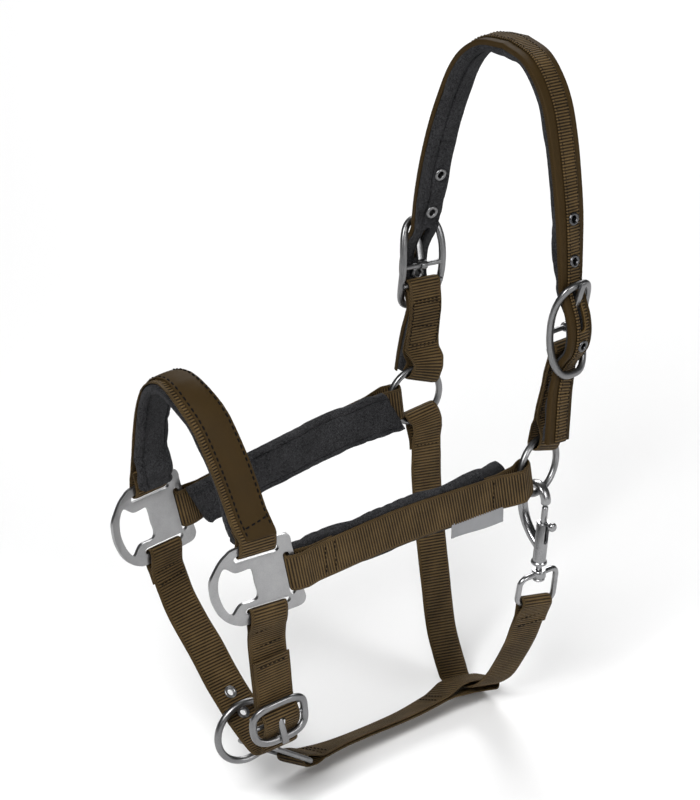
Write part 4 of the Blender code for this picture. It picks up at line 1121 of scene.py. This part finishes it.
def build_crown_buckles():
    for side, lift, ring, word in ((1, NEAR_LIFT, NEAR, "near"), (-1, FAR_LIFT, FAR, "far")):
        buckle = crown_buckle(lift)
        buckle.frame(f"buckle_{word}", f"crown_buckle_{word}", side)
        buckle.tongue(f"prong_{word}", f"crown_tongue_{word}", f"{word}_tongue", side)
        bar = buckle.at(0, *buckle.tab_bar)
        swing = 90 - TAB_SWING
        fold, edge = ring.at(RING_FOLD, swing), ring.across(swing)
        flat = -buckle.a * np.sign(-buckle.a[1])
        squeeze = flat * 0.91
        route = [(*fold, *(edge * PINCH)),
                 (*(fold + ring.outward(swing) * 9), *(edge * 0.4 + flat * 0.5))]
        for x, y, z in TAB_RISE:
            route.append((x, y, bar[2] + z, *(flat if z < -30 else squeeze)))
        route.append((*bar, *squeeze))
        ends = tab_ends(RING_LOOP, (BAR_R + 1.25, 1.0, 7.0, 3.4))
        tab, base, length = strap_on(f"tab_{word}", route, 6.0, ends, closed=True, side=side)
        out = WEB_T + LAYER / 2 - 0.05
        rows = []
        for off in (out, -out):
            for d, wide in ((length - 10.5, 9.6), (length - 12.2, 9.6), (19.0, 9.8), (20.8, 9.8),
                            (length - 27, 9.8)):
                rows.append(cross_on(base, d, wide, off))
            for a in (-9.9, 9.9):
                rows += zigzag_on(base, 20.5, length - 12, a, 0.6, off)
        sewn(tab, rows, f"crown_tab_{word}", side=side, size=TAB_STITCH)


PLATE_T = 2.2
PLATE_OUTLINE = [
    (-18, 27), (0, 27.6), (15, 28), (19.6, 25.5), (21.3, 18.5), (24.4, 7.4), (28, -6), (31, -15),
    (32, -19.5), (29.5, -23.2), (20, -24.3), (5, -25.2), (-9, -26), (-15, -24.5), (-21, -21),
    (-26.4, -15.6), (-30.5, -8.3), (-33, -1), (-34, 9), (-31.2, 15.3), (-27.6, 20.8), (-23.6, 24.3),
]
PLATE_WINDOW = [
    (-26, 15.6), (-23.6, 15.8), (-18, 11.7), (-13, 11.2), (-8, 11.6), (-5.8, 10.3), (-4.3, 6.6),
    (-2.9, 0), (-0.9, -6.6), (-1.6, -10.4), (-5, -11.2), (-12, -11.3), (-15, -13.7), (-18, -17),
    (-22.3, -12.8), (-25.8, -6.4), (-28.3, 1.7), (-28.3, 10),
]
TOP_SLOT, REAR_SLOT, BOTTOM_SLOT = (-3.0, 20.0, 0.0), (20.2, 0.6, 103.0), (6.0, -17.2, 0.0)
TOP_WEB, REAR_WEB, BOTTOM_WEB = 24.8, 24.4, -22.3
PLATE_LOOP = (2.7, 3.8, 8.0, 5.2)
PLATE = np.array([50.2, -236.0, -256.0])
PLATE_A = unit((0.1093, 0.9940, 0.0))
PLATE_B = unit((0.0493, -0.0054, 0.9988))
PLATE_N = np.cross(PLATE_A, PLATE_B)


def on_plate(a, b, n=0.0):
    return PLATE + a * PLATE_A + b * PLATE_B + n * PLATE_N


def build_plates():
    for side, word in ((1, "near"), (-1, "far")):
        rim = closed_curve(PLATE_OUTLINE, 1.2)
        rings = [[on_plate(a, b, n) for a, b in rim] for n in (-PLATE_T / 2, PLATE_T / 2)]
        plate = skin(f"plate_{word}", rings, side=side)
        window = closed_curve(PLATE_WINDOW, 1.2)
        cuts = [prism("window", *[np.array([on_plate(a, b, n) for a, b in window]) for n in (-4, 4)], side)]
        for a, b, lean in (TOP_SLOT, REAR_SLOT, BOTTOM_SLOT):
            lean = math.radians(lean)
            along = math.cos(lean) * PLATE_A + math.sin(lean) * PLATE_B
            cuts.append(prism("slot", *oval(on_plate(a, b), PLATE_N, along, 15.4, 2.1, -4, 4), side))
        boolean(plate, cuts)
        bevel(plate, 0.5, 3)
        dashes = []
        out = PLATE_T / 2
        for b, first, last in ((TOP_SLOT[1] - 3.2, -15, 9), (BOTTOM_SLOT[1] + 3.2, -6, 18)):
            for a in np.arange(first, last + 0.1, 2.4):
                corners = [(a - 0.7, b - 0.3), (a + 0.7, b - 0.3), (a + 0.7, b + 0.3), (a - 0.7, b + 0.3)]
                low = np.array([on_plate(x, y, out - 0.3) for x, y in corners])
                high = [on_plate(a + (x - a) * 0.8, b + (y - b) * 0.6, out + 0.18) for x, y in corners]
                dashes.append(prism("dash", low, high, side))
        plate = joined(f"plate_{word}", [plate, *dashes])
        finish_shading(plate, 32.0)
        wear(plate, SATIN, "straps", "plate", f"nose_plate_{word}")


# ---------------------------------------------------------------- noseband and cheeks

NOSE_EDGES = [
    ((0, -269, -138.4), (0, -244, -140.2)),
    ((12.5, -268.5, -144), (12.5, -243.5, -143)),
    ((24, -264.7, -157.6), (25.2, -240, -153)),
    ((31, -262.8, -171.3), (32.6, -237, -164.4)),
    ((37.4, -259.4, -187.5), (40, -234.5, -181)),
    ((42.3, -257.0, -202.4), (45.5, -231.5, -198)),
    ((46.2, -254.8, -214), (49.6, -229.3, -213)),
]
NOSE_W = 26.0


def nose_route():
    half = []
    for front, rear in NOSE_EDGES:
        front, rear = np.array(front, float), np.array(rear, float)
        half.append((*((front + rear) / 2), *unit(rear - front)))
    half.append((*on_plate(TOP_SLOT[0], TOP_WEB + 7, 0.2), *PLATE_A))
    half.append((*on_plate(TOP_SLOT[0], TOP_WEB), *PLATE_A))
    half = np.array(half)
    far = half[:0:-1] * np.array([-1, 1, 1, -1, 1, 1])
    return np.vstack([far, half])


def build_noseband():
    route = nose_route()
    ends = ((*PLATE_LOOP, 17.0), (*PLATE_LOOP, 17.0))
    band, base, _ = strap_on("noseband_strap", route, 7.0, ends)
    base = even(base, 1.2)
    cover = trimmed(base, 6.5, 6.5)
    centre, wide = cover[:, :3], skewed(cover[:, :3], cover[:, 3:6])
    ends = from_ends(cover)
    rise = 0.9 + WEB_T / 2 + LAYER + 1.7 * ease(ends + 10, 3.0, 12.0)
    edge_run = np.sqrt(np.clip(ends / 4.0, 0, 1))
    half, mid = 10.2, 2.0
    brow = [(half, 0.35), (half - 0.3, 0.9), (half - 1.0, 1.12), (half - 1.9, 0.86),
            (half - 2.6, 0.98), (half - 4.2, 1.32), (half * 0.4, 1.62)]
    top = brow + [(0, 1.7)] + [(-a, h) for a, h in brow[::-1]]
    outlines = []
    for r, e in zip(rise, edge_run):
        low = [(mid + a, r) for a in (0.3 - half, -half / 2, 0, half / 2, half - 0.3)]
        outlines.append([(mid + a, r + h * (0.55 + 0.45 * e)) for a, h in top] + low)
    cloth = swept_cover("noseband_cover_cloth", centre, wide, np.array(outlines), 60.0)
    run = run_of(centre)
    length = run[-1]
    seam = np.hstack([centre, wide])

    def row(across, start, end):
        points, normals = [], []
        for d in np.linspace(start, end, int((end - start) / 1.2)):
            p, _, w, n = station(seam, d)
            points.append(p + across * w + (np.interp(d, run, rise) + 0.92) * n)
            normals.append(n)
        return points, normals

    rows = [row(across, 3.0, length - 3.0) for across in (mid + half - 1.9, mid - half + 1.9)]
    for d in (8.5, length - 8.5):
        p, _, w, n = station(seam, d)
        points = []
        for a in np.linspace(-half + 2.2, half - 2.2, 11):
            bulge = np.interp(d, run, rise) + 0.98 + 0.72 * (1 - (a / half) ** 2) * 0.95
            points.append(p + (mid + a) * w + bulge * n)
        rows.append((points, [n] * 11))
    thread = stitches("noseband_thread", rows, THREAD_BLACK, 1, COVER_STITCH)
    cloth = joined("noseband_cover_cloth", [cloth, thread])
    wear(cloth, None, "straps", "cover", "noseband_cover")
    inner = trimmed(base, 0.8, 0.8)
    drop = 0.9 - WEB_T / 2 - LAYER - 3.8 * ease(from_ends(inner) + 7, 20.0, 16.0)
    quilting = ((8.6, 1.1, 0.5), (-8.6, 1.1, 0.5))
    pads = [pad_sections((NOSE_W - 0.6) / 2 - 0.3, d - PAD_T + 0.7, d, 13, quilting, 0.6) for d in drop]
    wide = skewed(inner[:, :3], inner[:, 3:6])
    fleeced(swept_pad("noseband_fleece", inner[:, :3], wide, pads), "noseband_padding")
    rows = [cross_on(base, d, 10.5, WEB_T + LAYER / 2 - 0.1) for d in (8.8, run_of(base)[-1] - 8.8)]
    sewn(band, rows, "noseband_webbing", size=STITCH)


def cheek_route(ring, tilt):
    start = on_plate(REAR_WEB, REAR_SLOT[1])
    lean = math.radians(REAR_SLOT[2])
    slot = math.cos(lean) * PLATE_A + math.sin(lean) * PLATE_B
    fold = ring.at(RING_FOLD, 180 + tilt)
    edge = ring.across(180 + tilt)
    before = fold + ring.outward(180 + tilt) * 10
    middle = (start + fold) / 2
    return [
        (*start, *slot),
        (*on_plate(REAR_WEB + 7, REAR_SLOT[1], 0.2), *slot),
        (middle[0] - 0.6, middle[1] - 8, middle[2] + 0.6, 0, -0.25, 0.97),
        (*before, *(edge * 0.94)),
        (*fold, *(edge * PINCH)),
    ]


NEAR_TILT, FAR_TILT = 11.0, 7.0


def build_cheeks():
    for side, ring, tilt, word in ((1, NEAR, NEAR_TILT, "near"), (-1, FAR, FAR_TILT, "far")):
        route = cheek_route(ring, tilt)
        ends = ((*PLATE_LOOP, 30.0), (*RING_LOOP, 32.0))
        strap, base, length = strap_on(f"cheek_strap_{word}", route, 8.0, ends, side=side)
        top = WEB_T + LAYER / 2 - 0.05
        rows = []
        for d in (9.5, 21.0, 28.0, length - 15.0, length - 27.0):
            rows.append(cross_on(base, d, 10.4, top))
        sewn(strap, rows, f"cheek_webbing_{word}", side=side)
        base = even(base, 1.6)
        base[:, 3:6] = (0, -0.5, 0.87)
        inner = trimmed(base, 5.0, 4.5)
        run = run_of(inner)
        high = (0.9 - WEB_T / 2 - LAYER - 3.4 * ease(from_ends(inner), 18.0, 34.0)
                - 2.4 * ease(run[-1] - run, 6.0, 12.0))
        quilting = ((11.0, 1.1, 0.5), (-11.0, 1.1, 0.5))
        pads = [pad_sections(PAD_W / 2 - 0.5, h - PAD_T + 0.7, h, 15, quilting, 0.6) for h in high]
        wide = skewed(inner[:, :3], inner[:, 3:6])
        pad = swept_pad(f"cheek_fleece_{word}", inner[:, :3], wide, pads, side)
        fleeced(pad, f"cheek_padding_{word}")


def build_label():
    route = smooth_through(cheek_route(NEAR, NEAR_TILT), 1.0)
    k = int(np.argmin(abs(route[:, 1] + 79.0)))
    centre, t = route[k, :3], tangents(route[:, :3])[k]
    down = unit(np.array([0.0, 0.0, -1.0]) + t[2] * t)
    out = np.cross(down, t)
    out = out if out[0] > 0 else -out
    top, low, half, thick = WEB / 2 - 2.0, WEB / 2 + 8.0, 19.0, 0.5
    count_a, count_b = 30, 14
    vertices, uvs, faces = [], [], []
    for layer in (0, 1):
        for i in range(count_a + 1):
            for j in range(count_b + 1):
                a = -half + 2 * half * i / count_a
                b = top + (low - top) * j / count_b
                hem = 0.18 if min(i, count_a - i) == 1 or j == count_b - 1 else 0
                curl = 0.5 * math.sin(a / 6.0 + 0.6) * ((b - top) / (low - top)) ** 2
                n = 0.45 + curl + (thick + hem if layer else -hem * 0.5)
                vertices.append(centre + a * t + b * down + n * out)
                uvs.append((a, b))
    row, total = count_b + 1, (count_a + 1) * (count_b + 1)
    for i in range(count_a):
        for j in range(count_b):
            q = i * row + j
            faces.append([q, q + row, q + row + 1, q + 1])
            faces.append([total + q, total + q + 1, total + q + row + 1, total + q + row])
    loop = ([i * row for i in range(count_a)] + [count_a * row + j for j in range(count_b)]
            + [i * row + count_b for i in range(count_a, 0, -1)] + [j for j in range(count_b, 0, -1)])
    for k, q in enumerate(loop):
        m = loop[(k + 1) % len(loop)]
        faces.append([q, total + q, total + m, m])
    obj = new_object("label_cloth", vertices, faces, 1, uvs, 60.0)
    obj.data.materials.append(LABEL)
    wear(obj, None, "straps", "label", "label")


# ---------------------------------------------------------------- chin, jaw and throat

CHIN_DROP = [
    (-47.5, -228.6, -293, -0.1, 0.99, 0.06), (-43, -226.3, -306, -0.1, 0.99, 0.06),
    (-31.7, -225, -320, -0.05, 0.99, 0.06), (-18.5, -223.2, -334, 0, 0.99, 0.07),
    (-7, -221.8, -347.7, 0, 0.99, 0.08), (2.2, -220.7, -357, 0, 0.99, 0.09),
    (13.3, -219.7, -366.3, 0.03, 0.99, 0.1), (27, -218.9, -375, 0.05, 0.99, 0.1),
    (38, -219, -378, 0.08, 0.99, 0.1),
]
CHIN_THREAD = [
    (-20.5, -2.4), (-15.4, -1.8), (-11.2, -1.6), (-6.9, 1.1), (-3.3, 3.1), (0, 3.8), (3.5, 3.5),
    (6.8, 1.7), (10.2, -1.5), (13.5, -1.8), (20, -1.8), (43, -1.6),
]
CHIN_EYELETS = (96.5, 111.0)
CHIN_BAR_R = 1.3


def build_chin():
    buckle = Buckle((49.0, -221.5, -353.0), (0.1, 0.99, 0.1), (0.01, -0.106, 0.994), 18.0, 12.4, 2.2,
                    (-1.0, -0.5), (5.2, -2.4), CHIN_BAR_R)
    buckle.frame("buckle_chin", "chin_buckle")
    buckle.tongue("prong_chin", "chin_tongue", "chin_tongue_body", towards=-1)
    across = (-PLATE_A[0], PLATE_A[1], 0)
    route = [(*(on_plate(BOTTOM_SLOT[0], BOTTOM_WEB) * MIRROR), *across),
             (*(on_plate(BOTTOM_SLOT[0], BOTTOM_WEB - 6) * MIRROR), *across)] + CHIN_DROP
    for b, n in CHIN_THREAD:
        route.append((*buckle.at(0, b, n), *buckle.a))
    ends = ((*PLATE_LOOP, 20.0), None)
    strap, base, length = strap_on("chin_band", route, 3.5, ends, centred=True)
    cuts = []
    for k, distance in enumerate(CHIN_EYELETS):
        p, _, _, n = station(base, distance)
        made = eyelet(f"eyelet_chin_{k + 1}", p, n, -WEB_T / 2 + 0.05, WEB_T / 2 - 0.05, 1, NICKEL)
        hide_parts(f"chin_eyelet_{k + 1}")
        cuts.append(rod("hole", p - 4 * n, p + 4 * n, HOLE_R, 1, 24))
    low, high = oval(buckle.at(0, -3.6, 2.6), buckle.n, buckle.b, 6.2, TONGUE_W / 2 + 0.5, -6, 6, 24)
    boolean(strap, cuts + [prism("slot", low, high)])
    finish_shading(strap, 75.0)
    rows = [cross_on(base, *place) for place in (
        (10.5, 10.2, 1.6), (10.5, 10.2, -1.6), (18.5, 10.2, 1.6),
        (length - 4.0, 10.4, WEB_T / 2 - 0.1), (length - 4.0, 10.4, -WEB_T / 2 + 0.1))]
    sewn(strap, rows, "chin_strap")
    web = on_plate(BOTTOM_SLOT[0], BOTTOM_WEB)
    bar = buckle.at(0, *buckle.tab_bar)
    tab = [
        (*web, *PLATE_A), (*on_plate(BOTTOM_SLOT[0], BOTTOM_WEB - 7), *PLATE_A),
        (*buckle.at(0, 52, -4.9), 0.1, 0.99, 0.03), (*buckle.at(0, 30, -4.8), *buckle.a),
        (*buckle.at(0, 14, -4.7), *buckle.a), (*buckle.at(0, 10, -4.6), *buckle.a), (*bar, *buckle.a),
    ]
    ends = tab_ends(PLATE_LOOP, (CHIN_BAR_R + 1.1, 0.4, 4.0, 2.4))
    strap, base, _ = strap_on("tab_chin", tab, 3.5, ends, closed=True)
    rows = [cross_on(base, d, 10.4, off) for d in (10.0, 24.0) for off in (1.6, -1.6)]
    sewn(strap, rows, "chin_tab")


LINK_FRONT = np.array([15.0, -213.2, -388.4])
LINK_REAR = np.array([11.5, -178.7, -412.7])
LINK_ACROSS = np.array([0.955, 0.0, 0.3])
LINK_WIRE = 1.6
JAW_ROUTE = [
    (8, -139, -417.5, 0.9, 0, 0.42), (5.5, -90, -419.5, 0.9, 0, 0.42),
    (4.5, -62, -417.3, 0.92, 0, 0.38), (4.2, -46, -415.2, 0.93, 0, 0.34),
    (4, -31, -417.4, 0.9, 0, 0.28), (3.9, -18.5, -420.4, 0.88, 0, 0.27),
]
THROAT_ROUTE = [
    (-52.2, -22.4, -284.5, -0.03, 0.975, -0.2), (-48.3, -24.3, -303.4, -0.03, 0.975, -0.2),
    (-42, -26.8, -328.4, -0.03, 0.975, -0.2), (-34, -29.4, -356, -0.03, 0.975, -0.2),
    (-25, -32, -387, -0.04, 0.975, -0.22), (-17.5, -32.5, -404, -0.05, 0.97, -0.22),
    (-14, -31.6, -414, -0.05, 0.97, -0.23), (-10.6, -31.2, -420.6, -0.05, 0.97, -0.23),
    (-4, -31, -420.2, -0.03, 0.97, -0.23), (4, -31, -417.5, 0, 0.97, -0.23),
    (10, -31, -415.6, 0, 0.97, -0.23), (17, -30.5, -412.6, 0.02, 0.97, -0.2),
    (26, -28.5, -404, 0.03, 0.975, -0.2), (36, -27, -386.5, 0.03, 0.975, -0.2),
    (46, -26.7, -367, 0.03, 0.98, -0.2), (53, -27, -351, 0.03, 0.98, -0.2),
]
EYE_BAR = np.array([58.0, -28.0, -337.0])
EYE_ACROSS = np.array([0.03, 0.98, -0.2])
EYE_WIRE = 1.8
EYE_HALF = 14.6


def rounded_loop(half_u, half_v, corner, step=0.9):
    points = []
    for u, v, start in ((1, 1, 0), (-1, 1, 90), (-1, -1, 180), (1, -1, 270)):
        for k in range(9):
            angle = math.radians(start + 90 * k / 8)
            points.append((u * (half_u - corner) + corner * math.cos(angle),
                           v * (half_v - corner) + corner * math.sin(angle)))
    points = np.array(points + points[:1])
    run = run_of(points)
    return sampled(points, run, np.arange(0, run[-1] - step / 2, step))


def build_lead():
    LEAD.build("lead_ring_wire", "lead_ring", "lead_ring_body")
    along = unit(LINK_REAR - LINK_FRONT)
    across = unit(LINK_ACROSS - np.dot(LINK_ACROSS, along) * along)
    reach = np.linalg.norm(LINK_REAR - LINK_FRONT) / 2
    middle = (LINK_FRONT + LINK_REAR) / 2
    path = [middle + along * u + across * v for u, v in rounded_loop(reach, 14.4, 6.0)]
    link = sweep("link_wire", path, np.cross(along, across), oval_outline(LINK_WIRE, LINK_WIRE, 20), True)
    wear(link, NICKEL, "straps", "steel", "lead_link")
    route = [(*LINK_REAR, *(0.87 * across)), (*(LINK_REAR + (-0.5, 9, -1.5)), *(0.94 * across))] + JAW_ROUTE
    ends = tab_ends((LINK_WIRE + 2.0, 1.8, 10.0, 4.3), (3.5, 26.0, 16.0, 1.5))
    strap, base, length = strap_on("jaw_band", route, 6.0, ends, closed=True)
    places = ((13.5, 10.0), (17.5, 10.0), (length - 44, 10.4), (length - 49, 10.4))
    rows = [cross_on(base, d, wide, off) for off in (1.6, -1.6) for d, wide in places]
    sewn(strap, rows, "jaw_strap")


def build_throat():
    fold = FAR.at(RING_FOLD, 288) * MIRROR
    edge = -FAR.across(280) * MIRROR
    out = FAR.outward(288) * MIRROR
    route = [(*fold, *(edge * PINCH)),
             (*(fold + out * 9), *(edge * 0.4 + np.array(THROAT_ROUTE[0][3:]) * 0.5)),
             *THROAT_ROUTE, (*EYE_BAR, *(0.92 * EYE_ACROSS))]
    ends = ((*RING_LOOP, 24.0), (EYE_WIRE + 1.6, 1.8, 8.0, 4.2, 20.0))
    strap, base, length = strap_on("throat_band", route, 6.0, ends, centred=True)
    places = (14.5, 21.5, length - 11.0, length - 18.0)
    sewn(strap, [cross_on(base, d, 10.2, off) for d in places for off in (1.45, -1.6)], "throat_strap")


# ---------------------------------------------------------------- bolt snap

SNAP_Y = -28.0
HOOK = [(60.5, -297), (54, -291.5), (48.6, -284), (45.8, -274.5), (47.2, -265), (51.8, -258.8),
        (58, -256.3), (63.6, -258.2), (66.3, -263), (66.3, -267.3)]
FOOT = np.array([61.3, SNAP_Y, -309.0])
BARREL_AXIS = unit((0.118, 0, 0.993))
BARREL_R, BARREL_TOP = 4.1, 29.6
BORE_R, BOLT_R = 2.35, 2.0
BOLT_LOW, BOLT_HIGH = 15.5, 41.0
SWIVEL_X = 61.5
SHANK_R = 1.9
UP = np.array([0.0, 0.0, 1.0])
SIDEWAYS = np.array([0.0, 1.0, 0.0])


def build_snap():
    barrel = [(0, 0), (4.7, 0), (5.0, 0.3), (5.0, 1.3), (4.8, 1.7), (4.3, 2.1), (BARREL_R, 2.6),
              (BARREL_R, BARREL_TOP - 0.5), (BARREL_R - 0.4, BARREL_TOP), (BORE_R, BARREL_TOP),
              (BORE_R, 3.4), (0, 3.4)]
    body = lathe("snap_case", barrel, FOOT, BARREL_AXIS)
    hook = smooth_through([(x, SNAP_Y, z) for x, z in HOOK], 0.9)
    run = run_of(hook)
    outlines = []
    for d in run:
        k = min(1.0, (run[-1] - d) / 2.2)
        taper = 0.62 + 0.38 * math.sqrt(max(0.0, k * (2 - k)))
        outlines.append(oval_outline(3.2 * taper, 2.4 * taper, 20, 2.6))
    piece = sweep("snap_arm", hook, SIDEWAYS, np.array(outlines))
    boolean(body, [piece], "UNION")
    shank_top = (SWIVEL_X, SNAP_Y, FOOT[2] + 1.0)
    shank = lathe("snap_shank", [(0, -12.6), (1.5, -12.6), (SHANK_R, -12.2), (SHANK_R, 0), (0, 0)],
                  shank_top, UP)
    boolean(body, [shank], "UNION")
    bore = rod("bore", FOOT + BARREL_AXIS * 3.4, FOOT + BARREL_AXIS * 36, BORE_R)
    low, high = oval(FOOT + BARREL_AXIS * 23.6 + (5.0, 0, 0), (1, 0, 0), BARREL_AXIS, 8.4, 1.6, -4.6, 6)
    boolean(body, [bore])
    boolean(body, [prism("slot", low, high)])
    bevel(body, 0.22, 2, 50.0)
    finish_shading(body, 45.0)
    wear(body, BRIGHT, "snap_hook", "steel", "snap_body")
    pin = [(0, BOLT_LOW), (BOLT_R, BOLT_LOW), (BOLT_R, BOLT_HIGH - 1.2),
           (BOLT_R - 0.4, BOLT_HIGH - 0.4), (BOLT_R - 1.0, BOLT_HIGH), (0, BOLT_HIGH)]
    bolt = lathe("snap_pin", pin, FOOT, BARREL_AXIS)
    lever = FOOT + BARREL_AXIS * 28.6
    stem = rod("stem", lever, lever + (8.6, 0, 0.6), 1.15)
    button = [(0, 0), (2.0, 0), (2.5, 0.35), (2.8, 0.9), (2.8, 2.2), (2.4, 2.9), (1.6, 3.3), (0, 3.45)]
    knob = lathe("knob", button, lever + (6.6, 0, 0.4), (1, 0, 0.08))
    boolean(bolt, [stem], "UNION")
    boolean(bolt, [knob], "UNION")
    finish_shading(bolt, 40.0)
    wear(bolt, BRIGHT, "bolt", "steel", "snap_bolt")
    spring = bpy.data.objects["snap_spring"]
    spring.data.materials.clear()
    spring.data.materials.append(NICKEL)
    build_eye()


def build_eye():
    centre = np.array([SWIVEL_X, SNAP_Y, 0.0])
    collar = [(2.2, -318.6), (3.9, -318.6), (4.3, -318.2), (4.3, -314.0), (3.9, -313.6), (2.2, -313.6)]
    eye = lathe("snap_swivel_eye", collar, centre, UP)
    top = np.array([SWIVEL_X, SNAP_Y, -316.1])
    across = unit(EYE_ACROSS)
    down = EYE_BAR - top
    height = np.linalg.norm(down)
    path = []
    for u, v in rounded_loop(height / 2, EYE_HALF, 5.0):
        depth = u / height + 0.5
        path.append(top + down * depth + (SIDEWAYS * (1 - depth) + across * depth) * v)
    loop = sweep("eye_loop", path, unit(np.cross(down, across)), oval_outline(EYE_WIRE, EYE_WIRE, 20), True)
    boolean(eye, [loop], "UNION")
    boolean(eye, [rod("eye_hole", (SWIVEL_X, SNAP_Y, -330), (SWIVEL_X, SNAP_Y, -310), 2.2)])
    finish_shading(eye, 45.0)
    wear(eye, BRIGHT, "straps", "steel", "snap_eye")
    washer = [(2.0, -320.6), (3.3, -320.6), (3.7, -320.2), (3.7, -319.4), (3.4, -319.0), (2.0, -319.0)]
    rivet = lathe("snap_washer", washer, centre, UP)
    wear(rivet, BRIGHT, "snap_hook", "steel", "snap_rivet")


# ---------------------------------------------------------------- scene


FLOOR_HALF = 12.0  # metres, like the other numbers of the scene
FLOOR_DROP = 0.0005
SKY_RAMP = {"From Min": 0.12, "From Max": 0.85, "To Min": 0.05, "To Max": 2.3}
LIGHT_AIM = Vector((0, -0.127, -0.19))
LIGHTS = (  # name, place, size and power
    ("key", (0.9, -1.5, 1.5), 1.0, 62.0),
    ("side", (2.2, 0.5, 0.6), 0.8, 22.0),
    ("back", (-1.4, 1.3, 1.2), 1.0, 34.0),
)
SENSOR = 36.0
FOCAL_PIXELS, PHOTO_HEIGHT = 4204, 800  # focal length fitted to the photo, in its pixels
AZIMUTH, ELEVATION, DISTANCE = math.radians(39.45), math.radians(25.71), 2.5
CAMERA_AIM = Vector((0.0, -0.1267, (-191.4 + RAISE) * MM))


def linked(name, data):
    obj = bpy.data.objects.new(name, data)
    bpy.context.scene.collection.objects.link(obj)
    return obj


def build_floor():
    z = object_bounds()[0].z - FLOOR_DROP
    corners = [(x * FLOOR_HALF, y * FLOOR_HALF, z) for x, y in ((-1, -1), (1, -1), (1, 1), (-1, 1))]
    mesh = bpy.data.meshes.new("floor")
    mesh.from_pydata(corners, [], [(0, 1, 2, 3)])
    floor = linked("floor", mesh)
    mesh.materials.append(Graph("floor_pale").done((0.9, 0.9, 0.9), 0.9))


def build_sky():
    """World that is bright above and dark towards the ground, so that the metal has contrast."""
    world = bpy.data.worlds.new("studio")
    bpy.context.scene.world = world
    world.use_nodes = True
    nodes, links = world.node_tree.nodes, world.node_tree.links
    split = nodes.new("ShaderNodeSeparateXYZ")
    links.new(nodes.new("ShaderNodeTexCoord").outputs["Generated"], split.inputs[0])
    height = nodes.new("ShaderNodeMapRange")
    links.new(split.outputs["Z"], height.inputs["Value"])
    for socket, value in SKY_RAMP.items():
        height.inputs[socket].default_value = value
    links.new(height.outputs["Result"], nodes["Background"].inputs["Strength"])


def build_stage():
    build_floor()
    build_sky()
    for name, place_at, size, power in LIGHTS:
        light = bpy.data.lights.new(name, "AREA")
        light.shape = "SQUARE"
        light.size = size
        light.energy = power
        lamp = linked(name, light)
        lamp.location = place_at
        lamp.rotation_euler = (LIGHT_AIM - lamp.location).to_track_quat("-Z", "Y").to_euler()
    camera = linked("camera", bpy.data.cameras.new("camera"))
    camera.data.sensor_width = SENSOR
    camera.data.lens = FOCAL_PIXELS * SENSOR / PHOTO_HEIGHT
    camera.data.clip_end = 50.0
    back = Vector((math.cos(ELEVATION) * math.cos(AZIMUTH), -math.cos(ELEVATION) * math.sin(AZIMUTH),
                   math.sin(ELEVATION)))
    camera.location = CAMERA_AIM + DISTANCE * back
    camera.rotation_mode = "QUATERNION"
    camera.rotation_quaternion = (-back).to_track_quat("-Z", "Y")
    bpy.context.scene.camera = camera
    bpy.context.scene.view_settings.view_transform = "Standard"


build_crown()
build_crown_buckles()
NEAR.build("ring_near", "cheek_ring_near", "near_ring")
FAR.build("ring_far", "cheek_ring_far", "far_ring", -1)
build_plates()
build_noseband()
build_cheeks()
build_label()
build_chin()
build_lead()
build_throat()
build_snap()
build_stage()
